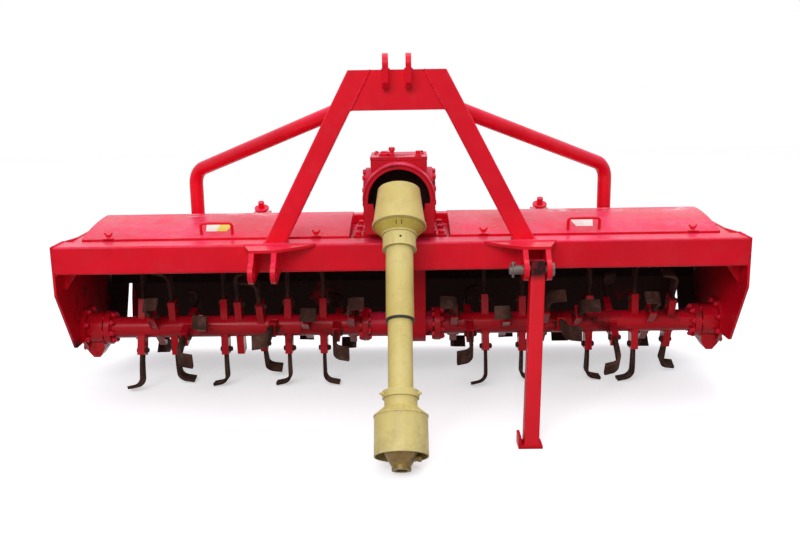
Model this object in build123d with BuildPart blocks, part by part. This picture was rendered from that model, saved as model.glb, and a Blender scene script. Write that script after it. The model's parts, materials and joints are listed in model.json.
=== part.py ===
from build123d import *
from math import cos, radians, sin, tan
import os

# Centre-drive rotavator on a category 2 three-point mounting, in millimetres.
# +X is the machine's left-to-right line seen from the tractor, +Y points away from the
# tractor, +Z is up, and the ground is Z = 0.  The machine is parked: drive shaft on the
# ground, support stand down.

os.makedirs("parts", exist_ok=True)


def finish(builder, name):
    """Label a finished piece and write it."""
    builder.part.label = name
    export_step(builder.part, "parts/" + name + ".step")


# ---------------------------------------------------------------- driving dimensions
OVERALL_WIDTH = 2180.0
BEAM_FRONT_Y = -75.3
PLATE_T = 8.0
SEAT_GAP = 0.3            # pieces that rest or sit on each other without a weld
PIN_CLEARANCE = 0.2       # radial, round pins in their holes

# front beam, a square tube
BEAM_SIZE = 90.0
BEAM_WALL = 10.0
BEAM_CORNER = 7.0
BEAM_TOP_Z = 549.0
BEAM_LENGTH = OVERALL_WIDTH - 2 * PLATE_T
BEAM_REAR_Y = BEAM_FRONT_Y + BEAM_SIZE
BEAM_MID_Y = BEAM_FRONT_Y + BEAM_SIZE / 2
BEAM_MID_Z = BEAM_TOP_Z - BEAM_SIZE / 2
PLATE_INNER_X = BEAM_LENGTH / 2

# rotor
ROTOR_BACK = 256.0        # behind the beam's front face
ROTOR_Y = BEAM_FRONT_Y + ROTOR_BACK
TIP_RADIUS = 216.0
ROTOR_Z = TIP_RADIUS
ROTOR_TUBE_R = 36.5
ROTOR_FLANGE_R = 57.0
ROTOR_FLANGE_T = 20.0
JOURNAL_R = 22.5
RUNNING_CLEARANCE = 0.05
INNER_FLANGE_X = 112.0    # inner face of each half shaft's centre flange
END_HUB_L = 63.0          # end bearing housing, in from the end plate
END_HUB_X = PLATE_INNER_X - END_HUB_L
END_GAP = 4.0             # half shaft's end face to the bearing housing

# deck: flat table behind the beam, then a panel that slopes down to the rear board
DECK_T = 4.0
DECK_DROP = 14.0          # below the beam's top
DECK_BACK = 482.0         # where the deck turns down, behind the beam's front face
BOARD_HINGE_BACK = 545.0
DECK_TOP_Z = BEAM_TOP_Z - DECK_DROP
DECK_REAR_Y = BEAM_FRONT_Y + DECK_BACK
BOARD_HINGE_Y = BEAM_FRONT_Y + BOARD_HINGE_BACK
BOARD_HINGE_Z = 338.0
BOARD_HINGE_R = 9.0
DECK_EDGE_RISE = 20.0     # deck's rear edge above the board's hinge line

# three-point mounting, category 2
HITCH_X = 412.5
HITCH_FORWARD = 105.0     # lower holes in front of the beam
LOWER_HOLE_Y = BEAM_FRONT_Y - HITCH_FORWARD
LOWER_HOLE_Z = 481.0
MAST_HEIGHT = 610.0
TOP_HOLE_FORWARD = 14.0
TOP_HOLE_Y = BEAM_FRONT_Y - TOP_HOLE_FORWARD
TOP_HOLE_Z = LOWER_HOLE_Z + MAST_HEIGHT
TOP_HOLE_RISE = 17.0      # top link hole above the mast's cross beam
MAST_TOP_Z = TOP_HOLE_Z - TOP_HOLE_RISE

# ---------------------------------------------------------------- front beam
with BuildPart() as front_beam:
    with BuildSketch(Plane.YZ):
        with Locations((BEAM_MID_Y, BEAM_MID_Z)):
            RectangleRounded(BEAM_SIZE, BEAM_SIZE, BEAM_CORNER)
            RectangleRounded(
                BEAM_SIZE - 2 * BEAM_WALL, BEAM_SIZE - 2 * BEAM_WALL, BEAM_CORNER / 3, mode=Mode.SUBTRACT
            )
    extrude(amount=BEAM_LENGTH / 2, both=True)
finish(front_beam, "front_beam")

# ---------------------------------------------------------------- end plates
PLATE_NOSE_Z = 392.0      # the front edge is upright down to here
PLATE_FOOT_FRONT = 128.0  # bottom edge's ends, behind the beam's front face
PLATE_FOOT_REAR = 488.0
PLATE_FOOT_Y = BEAM_FRONT_Y + PLATE_FOOT_FRONT
PLATE_FOOT_Z = 181.0
PLATE_REAR_FOOT_Y = BEAM_FRONT_Y + PLATE_FOOT_REAR
PLATE_CORNER_R = 14.0
PLATE_MARGIN = 12.0       # how far the plate stands out behind the deck
PLATE_TOP_DROP = 12.0     # the top edge slopes down to the deck behind the beam
PLATE_SLOPE_END = 245.0   # where the slope ends, behind the beam's front face
REAR_FLANGE_W = 62.0      # strip turned inwards along the rear edge
REAR_FLANGE_T = 6.0
GUSSET_W = 50.0           # web in the corner under the beam
GUSSET_H = 68.0
GUSSET_T = 6.0
GUSSET_INSET = 78.0
GUSSET_Y = BEAM_FRONT_Y + GUSSET_INSET
FLANGE_TOP_DROP = 8.0     # inward flange starts below the board's hinge line
FLANGE_FOOT_RISE = 30.0
FLANGE_FOOT_OUT = 12.0
PLATE_KNEE_DROP = 6.0
BEARING_OPENING_R = 50.0

PLATE_REAR_Y = BOARD_HINGE_Y + PLATE_MARGIN
flange_foot_y = PLATE_REAR_FOOT_Y + FLANGE_FOOT_OUT
plate_outline = [
    (BEAM_FRONT_Y, BEAM_TOP_Z),
    (BEAM_FRONT_Y + BEAM_SIZE, BEAM_TOP_Z),
    (BEAM_FRONT_Y + PLATE_SLOPE_END, BEAM_TOP_Z - PLATE_TOP_DROP),
    (DECK_REAR_Y + PLATE_MARGIN, BEAM_TOP_Z - PLATE_TOP_DROP),
    (PLATE_REAR_Y, BOARD_HINGE_Z - PLATE_KNEE_DROP),
    (PLATE_REAR_FOOT_Y, PLATE_FOOT_Z),
    (PLATE_FOOT_Y, PLATE_FOOT_Z),
    (BEAM_FRONT_Y, PLATE_NOSE_Z),
]
with BuildPart() as right_end_plate:
    with BuildSketch(Plane.YZ.offset(PLATE_INNER_X)):
        with BuildLine():
            Polyline(*plate_outline, close=True)
        make_face()
    extrude(amount=PLATE_T)
    fillet(right_end_plate.edges().filter_by(Axis.X).group_by(Axis.Z)[0], PLATE_CORNER_R)
    with Locations((PLATE_INNER_X, ROTOR_Y, ROTOR_Z)):
        Cylinder(BEARING_OPENING_R, 4 * PLATE_T, rotation=(0, 90, 0), mode=Mode.SUBTRACT)
    with BuildSketch(Plane.YZ.offset(PLATE_INNER_X)):
        with BuildLine():
            Polyline(
                (PLATE_REAR_Y - REAR_FLANGE_T, BOARD_HINGE_Z - FLANGE_TOP_DROP),
                (PLATE_REAR_Y, BOARD_HINGE_Z - FLANGE_TOP_DROP),
                (flange_foot_y, PLATE_FOOT_Z + FLANGE_FOOT_RISE),
                (flange_foot_y - REAR_FLANGE_T, PLATE_FOOT_Z + FLANGE_FOOT_RISE),
                close=True,
            )
        make_face()
    extrude(amount=-REAR_FLANGE_W)
    with BuildSketch(Plane.XZ.offset(-GUSSET_Y)):
        with BuildLine():
            Polyline(
                (PLATE_INNER_X, BEAM_TOP_Z - BEAM_SIZE),
                (PLATE_INNER_X - GUSSET_W, BEAM_TOP_Z - BEAM_SIZE),
                (PLATE_INNER_X, BEAM_TOP_Z - BEAM_SIZE - GUSSET_H),
                close=True,
            )
        make_face()
    extrude(amount=-GUSSET_T)
finish(right_end_plate, "right_end_plate")

with BuildPart() as left_end_plate:
    add(mirror(right_end_plate.part, about=Plane.YZ))
finish(left_end_plate, "left_end_plate")

# ---------------------------------------------------------------- deck and rear bar
GEAR_CASE_HOLE_W = 190.0
GEAR_CASE_HOLE_D = 200.0
GEARBOX_BACK = 220.0      # middle of the deck's hole behind the beam's front face
GEARBOX_Y = BEAM_FRONT_Y + GEARBOX_BACK
with BuildPart() as rotor_deck:
    with BuildSketch(Plane.YZ):
        with BuildLine():
            Polyline(
                (BEAM_REAR_Y, DECK_TOP_Z),
                (DECK_REAR_Y, DECK_TOP_Z),
                (BOARD_HINGE_Y, BOARD_HINGE_Z + DECK_EDGE_RISE),
                (BOARD_HINGE_Y - DECK_T, BOARD_HINGE_Z + DECK_EDGE_RISE),
                (DECK_REAR_Y - DECK_T, DECK_TOP_Z - DECK_T),
                (BEAM_REAR_Y, DECK_TOP_Z - DECK_T),
                close=True,
            )
        make_face()
    extrude(amount=BEAM_LENGTH / 2, both=True)
    with Locations((0, GEARBOX_Y, DECK_TOP_Z)):
        Box(GEAR_CASE_HOLE_W, GEAR_CASE_HOLE_D, 4 * DECK_T, mode=Mode.SUBTRACT)
finish(rotor_deck, "rotor_deck")

REAR_BAR_D = 50.0         # fore and aft
REAR_BAR_H = 36.0
REAR_BAR_WALL = 3.0
REAR_BAR_CORNER = 5.0
REAR_BAR_END_GAP = 130.0  # to the end plate
REAR_BAR_Y = DECK_REAR_Y - REAR_BAR_D / 2
REAR_BAR_TOP_Z = DECK_TOP_Z + REAR_BAR_H
with BuildPart() as rear_bar:
    with BuildSketch(Plane.YZ):
        with Locations((REAR_BAR_Y, DECK_TOP_Z + REAR_BAR_H / 2)):
            RectangleRounded(REAR_BAR_D, REAR_BAR_H, REAR_BAR_CORNER)
            Rectangle(
                REAR_BAR_D - 2 * REAR_BAR_WALL, REAR_BAR_H - 2 * REAR_BAR_WALL, mode=Mode.SUBTRACT
            )
    extrude(amount=PLATE_INNER_X - REAR_BAR_END_GAP, both=True)
finish(rear_bar, "rear_bar")

# ---------------------------------------------------------------- mast
LEG_SIZE = 60.0
LEG_WALL = 8.0
LEG_CORNER = 5.0
LEG_FOOT_X = 389.0
LEG_INSET = 6.0           # leg's front behind the beam's
LEG_FRONT_Y = BEAM_FRONT_Y + LEG_INSET
CROSS_HEIGHT = 120.0
LEG_LEAN = 27.6           # degrees from upright, inwards
LEG_HALF_W = LEG_SIZE / 2 / cos(radians(LEG_LEAN))
LEG_TOP_X = LEG_FOOT_X - (MAST_TOP_Z - BEAM_TOP_Z) * tan(radians(LEG_LEAN))


def leg_x(z):
    """Centre line of the right leg at height z."""
    return LEG_FOOT_X - (z - BEAM_TOP_Z) * tan(radians(LEG_LEAN))


LEG_WALL_X = LEG_WALL / cos(radians(LEG_LEAN))
LEG_MID_Y = LEG_FRONT_Y + LEG_SIZE / 2
with BuildPart() as right_mast_leg:
    with BuildSketch(Plane.XZ.offset(-LEG_MID_Y)):
        with BuildLine():
            Polyline(
                (LEG_FOOT_X - LEG_HALF_W, BEAM_TOP_Z),
                (LEG_FOOT_X + LEG_HALF_W, BEAM_TOP_Z),
                (LEG_TOP_X + LEG_HALF_W, MAST_TOP_Z),
                (LEG_TOP_X - LEG_HALF_W, MAST_TOP_Z),
                close=True,
            )
        make_face()
    extrude(amount=LEG_SIZE / 2, both=True)
    leg_length = (MAST_TOP_Z - BEAM_TOP_Z) / cos(radians(LEG_LEAN))
    long_edges = right_mast_leg.edges().filter_by(lambda edge: abs(edge.length - leg_length) < 1.0)
    fillet(long_edges, LEG_CORNER)
    with BuildSketch(Plane.XZ.offset(-LEG_MID_Y)):
        with BuildLine():
            Polyline(
                (LEG_FOOT_X - LEG_HALF_W + LEG_WALL_X, BEAM_TOP_Z),
                (LEG_FOOT_X + LEG_HALF_W - LEG_WALL_X, BEAM_TOP_Z),
                (leg_x(MAST_TOP_Z - LEG_WALL) + LEG_HALF_W - LEG_WALL_X, MAST_TOP_Z - LEG_WALL),
                (leg_x(MAST_TOP_Z - LEG_WALL) - LEG_HALF_W + LEG_WALL_X, MAST_TOP_Z - LEG_WALL),
                close=True,
            )
        make_face()
    extrude(amount=LEG_SIZE / 2 - LEG_WALL, both=True, mode=Mode.SUBTRACT)
finish(right_mast_leg, "right_mast_leg")

with BuildPart() as left_mast_leg:
    add(mirror(right_mast_leg.part, about=Plane.YZ))
finish(left_mast_leg, "left_mast_leg")

CROSS_BOTTOM_Z = MAST_TOP_Z - CROSS_HEIGHT
CROSS_WALL = 8.0
with BuildPart() as mast_cross_beam:
    with BuildSketch(Plane.XZ.offset(-LEG_MID_Y)):
        with BuildLine():
            Polyline(
                (-(leg_x(CROSS_BOTTOM_Z) - LEG_HALF_W), CROSS_BOTTOM_Z),
                (leg_x(CROSS_BOTTOM_Z) - LEG_HALF_W, CROSS_BOTTOM_Z),
                (leg_x(MAST_TOP_Z) - LEG_HALF_W, MAST_TOP_Z),
                (-(leg_x(MAST_TOP_Z) - LEG_HALF_W), MAST_TOP_Z),
                close=True,
            )
        make_face()
    extrude(amount=LEG_SIZE / 2, both=True)
    with Locations((0, LEG_MID_Y, MAST_TOP_Z - CROSS_HEIGHT / 2)):
        Box(4 * LEG_FOOT_X, LEG_SIZE - 2 * CROSS_WALL, CROSS_HEIGHT - 2 * CROSS_WALL, mode=Mode.SUBTRACT)
finish(mast_cross_beam, "mast_cross_beam")

# ---------------------------------------------------------------- top link lugs
TOP_HOLE_R = 12.85
TOP_LUG_GAP = 52.0
TOP_LUG_T = 17.0
TOP_LUG_R = 31.0
TOP_LUG_FOOT_Z = MAST_TOP_Z - 56.0
TOP_LUG_TAIL = 50.0       # along the top of the cross beam
TOP_LUG_TAIL_H = 8.0
TOP_LUG_CHIN_Z = TOP_LUG_FOOT_Z + 18.0
TOP_LUG_CHIN_IN = 8.0
TOP_LUG_FOOT_IN = 4.0
TOP_LUG_SLOPE = radians(60)
for name, side in (("left_top_link_lug", -1), ("right_top_link_lug", 1)):
    with BuildPart() as top_lug:
        with BuildSketch(Plane.YZ.offset(side * (TOP_LUG_GAP + TOP_LUG_T) / 2)) as lug_face:
            with Locations((TOP_HOLE_Y, TOP_HOLE_Z)):
                Circle(TOP_LUG_R)
            with BuildLine():
                Polyline(
                    (TOP_HOLE_Y - TOP_LUG_R, TOP_HOLE_Z),
                    (TOP_HOLE_Y - TOP_LUG_R + TOP_LUG_CHIN_IN, TOP_LUG_CHIN_Z),
                    (TOP_HOLE_Y - TOP_LUG_FOOT_IN, TOP_LUG_FOOT_Z),
                    (LEG_FRONT_Y, TOP_LUG_FOOT_Z),
                    (LEG_FRONT_Y, MAST_TOP_Z),
                    (LEG_FRONT_Y + TOP_LUG_TAIL, MAST_TOP_Z),
                    (LEG_FRONT_Y + TOP_LUG_TAIL, MAST_TOP_Z + TOP_LUG_TAIL_H),
                    (
                        TOP_HOLE_Y + TOP_LUG_R * sin(TOP_LUG_SLOPE),
                        TOP_HOLE_Z + TOP_LUG_R * cos(TOP_LUG_SLOPE),
                    ),
                    (TOP_HOLE_Y, TOP_HOLE_Z),
                    close=True,
                )
            make_face()
            with Locations((LEG_MID_Y, MAST_TOP_Z - CROSS_HEIGHT / 2)):
                Rectangle(LEG_SIZE, CROSS_HEIGHT, mode=Mode.SUBTRACT)
            with Locations((TOP_HOLE_Y, TOP_HOLE_Z)):
                Circle(TOP_HOLE_R, mode=Mode.SUBTRACT)
        extrude(amount=TOP_LUG_T / 2, both=True)
    finish(top_lug, name)

# ---------------------------------------------------------------- lower hitch brackets
HITCH_GAP = 52.0
HITCH_LUG_T = 16.0
HITCH_PIN_R = 14.0        # category 2 pin, 28 mm
HITCH_CLEARANCE = 0.4     # radial, the tractor's pin in the open bracket
HITCH_HOLE_R = HITCH_PIN_R + HITCH_CLEARANCE
HITCH_NOSE_R = 33.0
HITCH_SHELF_T = 10.0
HITCH_SHELF_DROP = 1.0    # shelf's top below the beam's
HITCH_SHELF_REACH = 92.0
SHELF_BACK_IN_X = 262.0   # where the shelf meets the beam, inner and outer ends
SHELF_BACK_OUT_X = 484.0
HITCH_OUTER = HITCH_GAP / 2 + HITCH_LUG_T
SHELF_BOTTOM_Z = BEAM_TOP_Z - HITCH_SHELF_T
with BuildPart() as right_hitch_bracket:
    for lug_side in (-1, 1):
        lug_mid_x = HITCH_X + lug_side * (HITCH_GAP + HITCH_LUG_T) / 2
        with BuildSketch(Plane.YZ.offset(lug_mid_x)):
            with Locations((LOWER_HOLE_Y, LOWER_HOLE_Z)):
                Circle(HITCH_NOSE_R)
            with BuildLine():
                Polyline(
                    (LOWER_HOLE_Y - HITCH_NOSE_R, LOWER_HOLE_Z),
                    (LOWER_HOLE_Y, LOWER_HOLE_Z - HITCH_NOSE_R),
                    (BEAM_FRONT_Y, BEAM_TOP_Z - BEAM_SIZE + BEAM_CORNER),
                    (BEAM_FRONT_Y, SHELF_BOTTOM_Z),
                    (BEAM_FRONT_Y - HITCH_SHELF_REACH, SHELF_BOTTOM_Z),
                    close=True,
                )
            make_face()
        extrude(amount=HITCH_LUG_T / 2, both=True)
    with BuildSketch(Plane.XY.offset(SHELF_BOTTOM_Z)):
        with BuildLine():
            Polyline(
                (SHELF_BACK_IN_X, BEAM_FRONT_Y),
                (SHELF_BACK_OUT_X, BEAM_FRONT_Y),
                (HITCH_X + HITCH_OUTER, BEAM_FRONT_Y - HITCH_SHELF_REACH),
                (HITCH_X - HITCH_OUTER, BEAM_FRONT_Y - HITCH_SHELF_REACH),
                close=True,
            )
        make_face()
    extrude(amount=HITCH_SHELF_T - HITCH_SHELF_DROP)

with BuildPart() as left_hitch_bracket:
    add(mirror(right_hitch_bracket.part, about=Plane.YZ))
    with Locations((-HITCH_X, LOWER_HOLE_Y, LOWER_HOLE_Z)):
        Cylinder(HITCH_HOLE_R, 4 * HITCH_OUTER, rotation=(0, 90, 0), mode=Mode.SUBTRACT)
finish(left_hitch_bracket, "left_hitch_bracket")

# support stand: a square tube on the right bracket's pin, leaning forwards and inwards
STAND_SIZE = 44.0
STAND_WALL = 5.0
STAND_LEAN = 21.5         # degrees forwards
STAND_IN = 38.0           # foot's offset towards the middle
STAND_TOP = 24.0          # above the pin
STOP_BOTTOM = 10.0        # stop bar behind the stand's head, measured up from the pin
STOP_TOP = 34.0
STOP_T = 12.0
STOP_GAP = 1.2


def behind_stand(up, back):
    """A point in the YZ plane, up the leaning stand from its pin and behind its rear face."""
    away = STAND_SIZE / 2 + back
    return (
        LOWER_HOLE_Y + up * sin(radians(STAND_LEAN)) + away * cos(radians(STAND_LEAN)),
        LOWER_HOLE_Z + up * cos(radians(STAND_LEAN)) - away * sin(radians(STAND_LEAN)),
    )


with right_hitch_bracket:
    with BuildSketch(Plane.YZ.offset(HITCH_X)):
        with BuildLine():
            Polyline(
                behind_stand(STOP_BOTTOM, STOP_GAP), behind_stand(STOP_TOP, STOP_GAP),
                behind_stand(STOP_TOP, STOP_GAP + STOP_T), behind_stand(STOP_BOTTOM, STOP_GAP + STOP_T),
                close=True,
            )
        make_face()
    extrude(amount=HITCH_GAP / 2, both=True)
    with Locations((HITCH_X, LOWER_HOLE_Y, LOWER_HOLE_Z)):
        Cylinder(HITCH_PIN_R + PIN_CLEARANCE, 4 * HITCH_OUTER, rotation=(0, 90, 0), mode=Mode.SUBTRACT)
finish(right_hitch_bracket, "right_hitch_bracket")

# pin through the right bracket, which also carries the stand
HITCH_PIN_IN_X = 328.0
HITCH_PIN_HEAD_R = 21.0
HITCH_PIN_HEAD_T = 8.0
HITCH_PIN_CHAMFER = 3.0
with BuildPart() as right_hitch_pin:
    with BuildSketch(Plane.YZ.offset(HITCH_PIN_IN_X)):
        with Locations((LOWER_HOLE_Y, LOWER_HOLE_Z)):
            Circle(HITCH_PIN_R)
    extrude(amount=HITCH_X + HITCH_OUTER + SEAT_GAP - HITCH_PIN_IN_X)
    with BuildSketch(Plane.YZ.offset(HITCH_X + HITCH_OUTER + SEAT_GAP)):
        with Locations((LOWER_HOLE_Y, LOWER_HOLE_Z)):
            Circle(HITCH_PIN_HEAD_R)
    extrude(amount=HITCH_PIN_HEAD_T)
    chamfer(right_hitch_pin.edges().group_by(Axis.X)[0], HITCH_PIN_CHAMFER)
finish(right_hitch_pin, "right_hitch_pin")

# ---------------------------------------------------------------- rear stays
STAY_R = 24.0
STAY_WALL = 4.0
STAY_END_GAP = 358.0      # stay's foot, in from the end plate
STAY_X = PLATE_INNER_X - STAY_END_GAP
STAY_BEND_R = 62.0
STAY_BEND_Z = 729.0
STAY_TOP_Z = 955.0
STAY_TOP_Y = LEG_FRONT_Y + LEG_SIZE - SEAT_GAP
STAY_TOP_X = leg_x(STAY_TOP_Z)
for name, side in (("left_rear_stay", -1), ("right_rear_stay", 1)):
    with BuildPart() as rear_stay:
        with BuildLine() as stay_path:
            FilletPolyline(
                (side * STAY_X, REAR_BAR_Y, REAR_BAR_TOP_Z),
                (side * STAY_X, REAR_BAR_Y, STAY_BEND_Z),
                (side * STAY_TOP_X, STAY_TOP_Y + STAY_R, STAY_TOP_Z),
                radius=STAY_BEND_R,
            )
        with BuildSketch(Plane((side * STAY_X, REAR_BAR_Y, REAR_BAR_TOP_Z))):
            Circle(STAY_R)
            Circle(STAY_R - STAY_WALL, mode=Mode.SUBTRACT)
        sweep()
    finish(rear_stay, name)

# ---------------------------------------------------------------- gearbox
INPUT_Z = 668.0
BOX_HALF_W = 90.0
BOX_BACK = 118.0          # housing's front behind the beam's front face
BOX_FRONT_Y = BEAM_FRONT_Y + BOX_BACK
BOX_DEPTH = 180.0
BOX_MID_Y = BOX_FRONT_Y + BOX_DEPTH / 2
BOX_TOP_Z = 792.0
BASE_HALF_W = 150.0
BASE_T = 16.0
BASE_MARGIN = 6.0         # base plate in front of the housing
BASE_FRONT_Y = BOX_FRONT_Y - BASE_MARGIN
BASE_DEPTH = 240.0
BASE_CORNER = 12.0
BOX_CORNER = 8.0
BOX_FOOT_T = 14.0         # flange around the housing's foot
BOX_FOOT_OUT_X = 28.0
BOX_FOOT_OUT_Y = 8.0
SIDE_COVER_R = 86.0
SIDE_COVER_T = 18.0
SIDE_COVER_RISE = 6.0     # centre above the input shaft
SIDE_CAP_R = 53.0
SIDE_CAP_T = 9.0
with BuildPart() as gearbox_base:
    with BuildSketch(Plane.XY.offset(DECK_TOP_Z)):
        with Locations((0, BASE_FRONT_Y + BASE_DEPTH / 2)):
            RectangleRounded(2 * BASE_HALF_W, BASE_DEPTH, BASE_CORNER)
    extrude(amount=BASE_T)
finish(gearbox_base, "gearbox_base")

BASE_TOP_Z = DECK_TOP_Z + BASE_T
INPUT_BOSS_R = 52.0
INPUT_BOSS_L = 26.0
INPUT_SHAFT_R = 17.5
with BuildPart() as gearbox_housing:
    with BuildSketch(Plane.XY.offset(BASE_TOP_Z)):
        with Locations((0, BOX_MID_Y)):
            RectangleRounded(2 * BOX_HALF_W, BOX_DEPTH, BOX_CORNER)
    extrude(amount=BOX_TOP_Z - BASE_TOP_Z)
    with BuildSketch(Plane.XY.offset(BASE_TOP_Z)):
        with Locations((0, BOX_MID_Y)):
            RectangleRounded(
                2 * (BOX_HALF_W + BOX_FOOT_OUT_X), BOX_DEPTH + 2 * BOX_FOOT_OUT_Y, BOX_CORNER
            )
    extrude(amount=BOX_FOOT_T)
    with BuildSketch(Plane.XZ.offset(-BOX_FRONT_Y)):
        with Locations((0, INPUT_Z)):
            Circle(INPUT_BOSS_R)
    extrude(amount=INPUT_BOSS_L)
    with Locations((0, BOX_FRONT_Y, INPUT_Z)):
        Cylinder(
            INPUT_SHAFT_R + RUNNING_CLEARANCE, 2 * BOX_HALF_W, rotation=(90, 0, 0), mode=Mode.SUBTRACT
        )
finish(gearbox_housing, "gearbox_housing")

LID_T = 10.0
LID_OVERHANG = 1.0
LID_BOSS_R = 20.0
LID_BOSS_H = 5.0
LID_BOSS_FORWARD = 40.0
with BuildPart() as gearbox_lid:
    with BuildSketch(Plane.XY.offset(BOX_TOP_Z)):
        with Locations((0, BOX_MID_Y)):
            RectangleRounded(
                2 * (BOX_HALF_W + LID_OVERHANG), BOX_DEPTH + 2 * LID_OVERHANG, BOX_CORNER
            )
    extrude(amount=LID_T)
    with BuildSketch(Plane.XY.offset(BOX_TOP_Z + LID_T)):
        with Locations((-BOX_HALF_W / 2, BOX_MID_Y - LID_BOSS_FORWARD)):
            Circle(LID_BOSS_R)
    extrude(amount=LID_BOSS_H)
finish(gearbox_lid, "gearbox_lid")

for name, side in (("left_gearbox_cover", -1), ("right_gearbox_cover", 1)):
    with BuildPart() as side_cover:
        with BuildSketch(Plane.YZ.offset(side * BOX_HALF_W)):
            with Locations((BOX_MID_Y, INPUT_Z + SIDE_COVER_RISE)):
                Circle(SIDE_COVER_R)
        extrude(amount=side * SIDE_COVER_T)
        with BuildSketch(Plane.YZ.offset(side * (BOX_HALF_W + SIDE_COVER_T))):
            with Locations((BOX_MID_Y, INPUT_Z + SIDE_COVER_RISE)):
                Circle(SIDE_CAP_R)
        extrude(amount=side * SIDE_CAP_T)
    finish(side_cover, name)

# arched guard over the input shaft
SHIELD_R = 113.0
SHIELD_BORE_R = 96.5
SHIELD_RISE = 8.0         # arch's centre above the input shaft
SHIELD_INSET = 30.0       # front edge behind the beam's front face
SHIELD_CENTRE_Z = INPUT_Z + SHIELD_RISE
SHIELD_FRONT_Y = BEAM_FRONT_Y + SHIELD_INSET
SHIELD_FOOT_Z = BASE_TOP_Z + 20.0
SHIELD_FOOT_OUT_X = SHIELD_R - 8.0
SHIELD_FOOT_IN_X = SHIELD_BORE_R - 30.0
SHIELD_STEP_X = SHIELD_BORE_R - 16.0
SHIELD_STEP_Z = SHIELD_CENTRE_Z - 10.0
with BuildPart() as shaft_shield:
    with BuildSketch(Plane.XZ.offset(-SHIELD_FRONT_Y)):
        with Locations((0, SHIELD_CENTRE_Z)):
            Circle(SHIELD_R)
            Circle(SHIELD_BORE_R, mode=Mode.SUBTRACT)
        with Locations((0, SHIELD_CENTRE_Z - SHIELD_R)):
            Rectangle(3 * SHIELD_R, 2 * SHIELD_R, mode=Mode.SUBTRACT)
        for side in (-1, 1):
            with BuildLine():
                Polyline(
                    (side * SHIELD_BORE_R, SHIELD_CENTRE_Z),
                    (side * SHIELD_R, SHIELD_CENTRE_Z),
                    (side * SHIELD_FOOT_OUT_X, SHIELD_FOOT_Z),
                    (side * SHIELD_FOOT_IN_X, SHIELD_FOOT_Z),
                    (side * SHIELD_STEP_X, SHIELD_STEP_Z),
                    (side * SHIELD_BORE_R, SHIELD_STEP_Z),
                    close=True,
                )
            make_face()
    extrude(amount=-(BOX_FRONT_Y - SHIELD_FRONT_Y))
finish(shaft_shield, "shaft_shield")

# ---------------------------------------------------------------- centre gear case
CASE_LEFT_X = -48.0
CASE_RIGHT_X = 82.0
CASE_BOTTOM_R = 62.0
CASE_TOP_HALF_D = 70.0
CASE_NECK_R = ROTOR_TUBE_R + 6.0
with BuildPart() as gear_case:
    with BuildSketch(Plane.YZ.offset(CASE_LEFT_X)):
        with Locations((ROTOR_Y, ROTOR_Z)):
            Circle(CASE_BOTTOM_R)
        with BuildLine():
            Polyline(
                (ROTOR_Y - CASE_BOTTOM_R, ROTOR_Z),
                (ROTOR_Y + CASE_BOTTOM_R, ROTOR_Z),
                (GEARBOX_Y + CASE_TOP_HALF_D, DECK_TOP_Z),
                (GEARBOX_Y - CASE_TOP_HALF_D, DECK_TOP_Z),
                close=True,
            )
        make_face()
    extrude(amount=CASE_RIGHT_X - CASE_LEFT_X)
    for start_x, end_x in (
        (CASE_LEFT_X, -INNER_FLANGE_X + END_GAP),
        (CASE_RIGHT_X, INNER_FLANGE_X - END_GAP),
    ):
        with BuildSketch(Plane.YZ.offset(start_x)):
            with Locations((ROTOR_Y, ROTOR_Z)):
                Circle(CASE_NECK_R)
        extrude(amount=end_x - start_x)
    with Locations((0, ROTOR_Y, ROTOR_Z)):
        Cylinder(
            JOURNAL_R + RUNNING_CLEARANCE, 4 * INNER_FLANGE_X, rotation=(0, 90, 0), mode=Mode.SUBTRACT
        )
finish(gear_case, "gear_case")

with BuildPart() as rotor_centre_shaft:
    with BuildSketch(Plane.YZ):
        with Locations((ROTOR_Y, ROTOR_Z)):
            Circle(JOURNAL_R)
    extrude(amount=INNER_FLANGE_X, both=True)
finish(rotor_centre_shaft, "rotor_centre_shaft")

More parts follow.
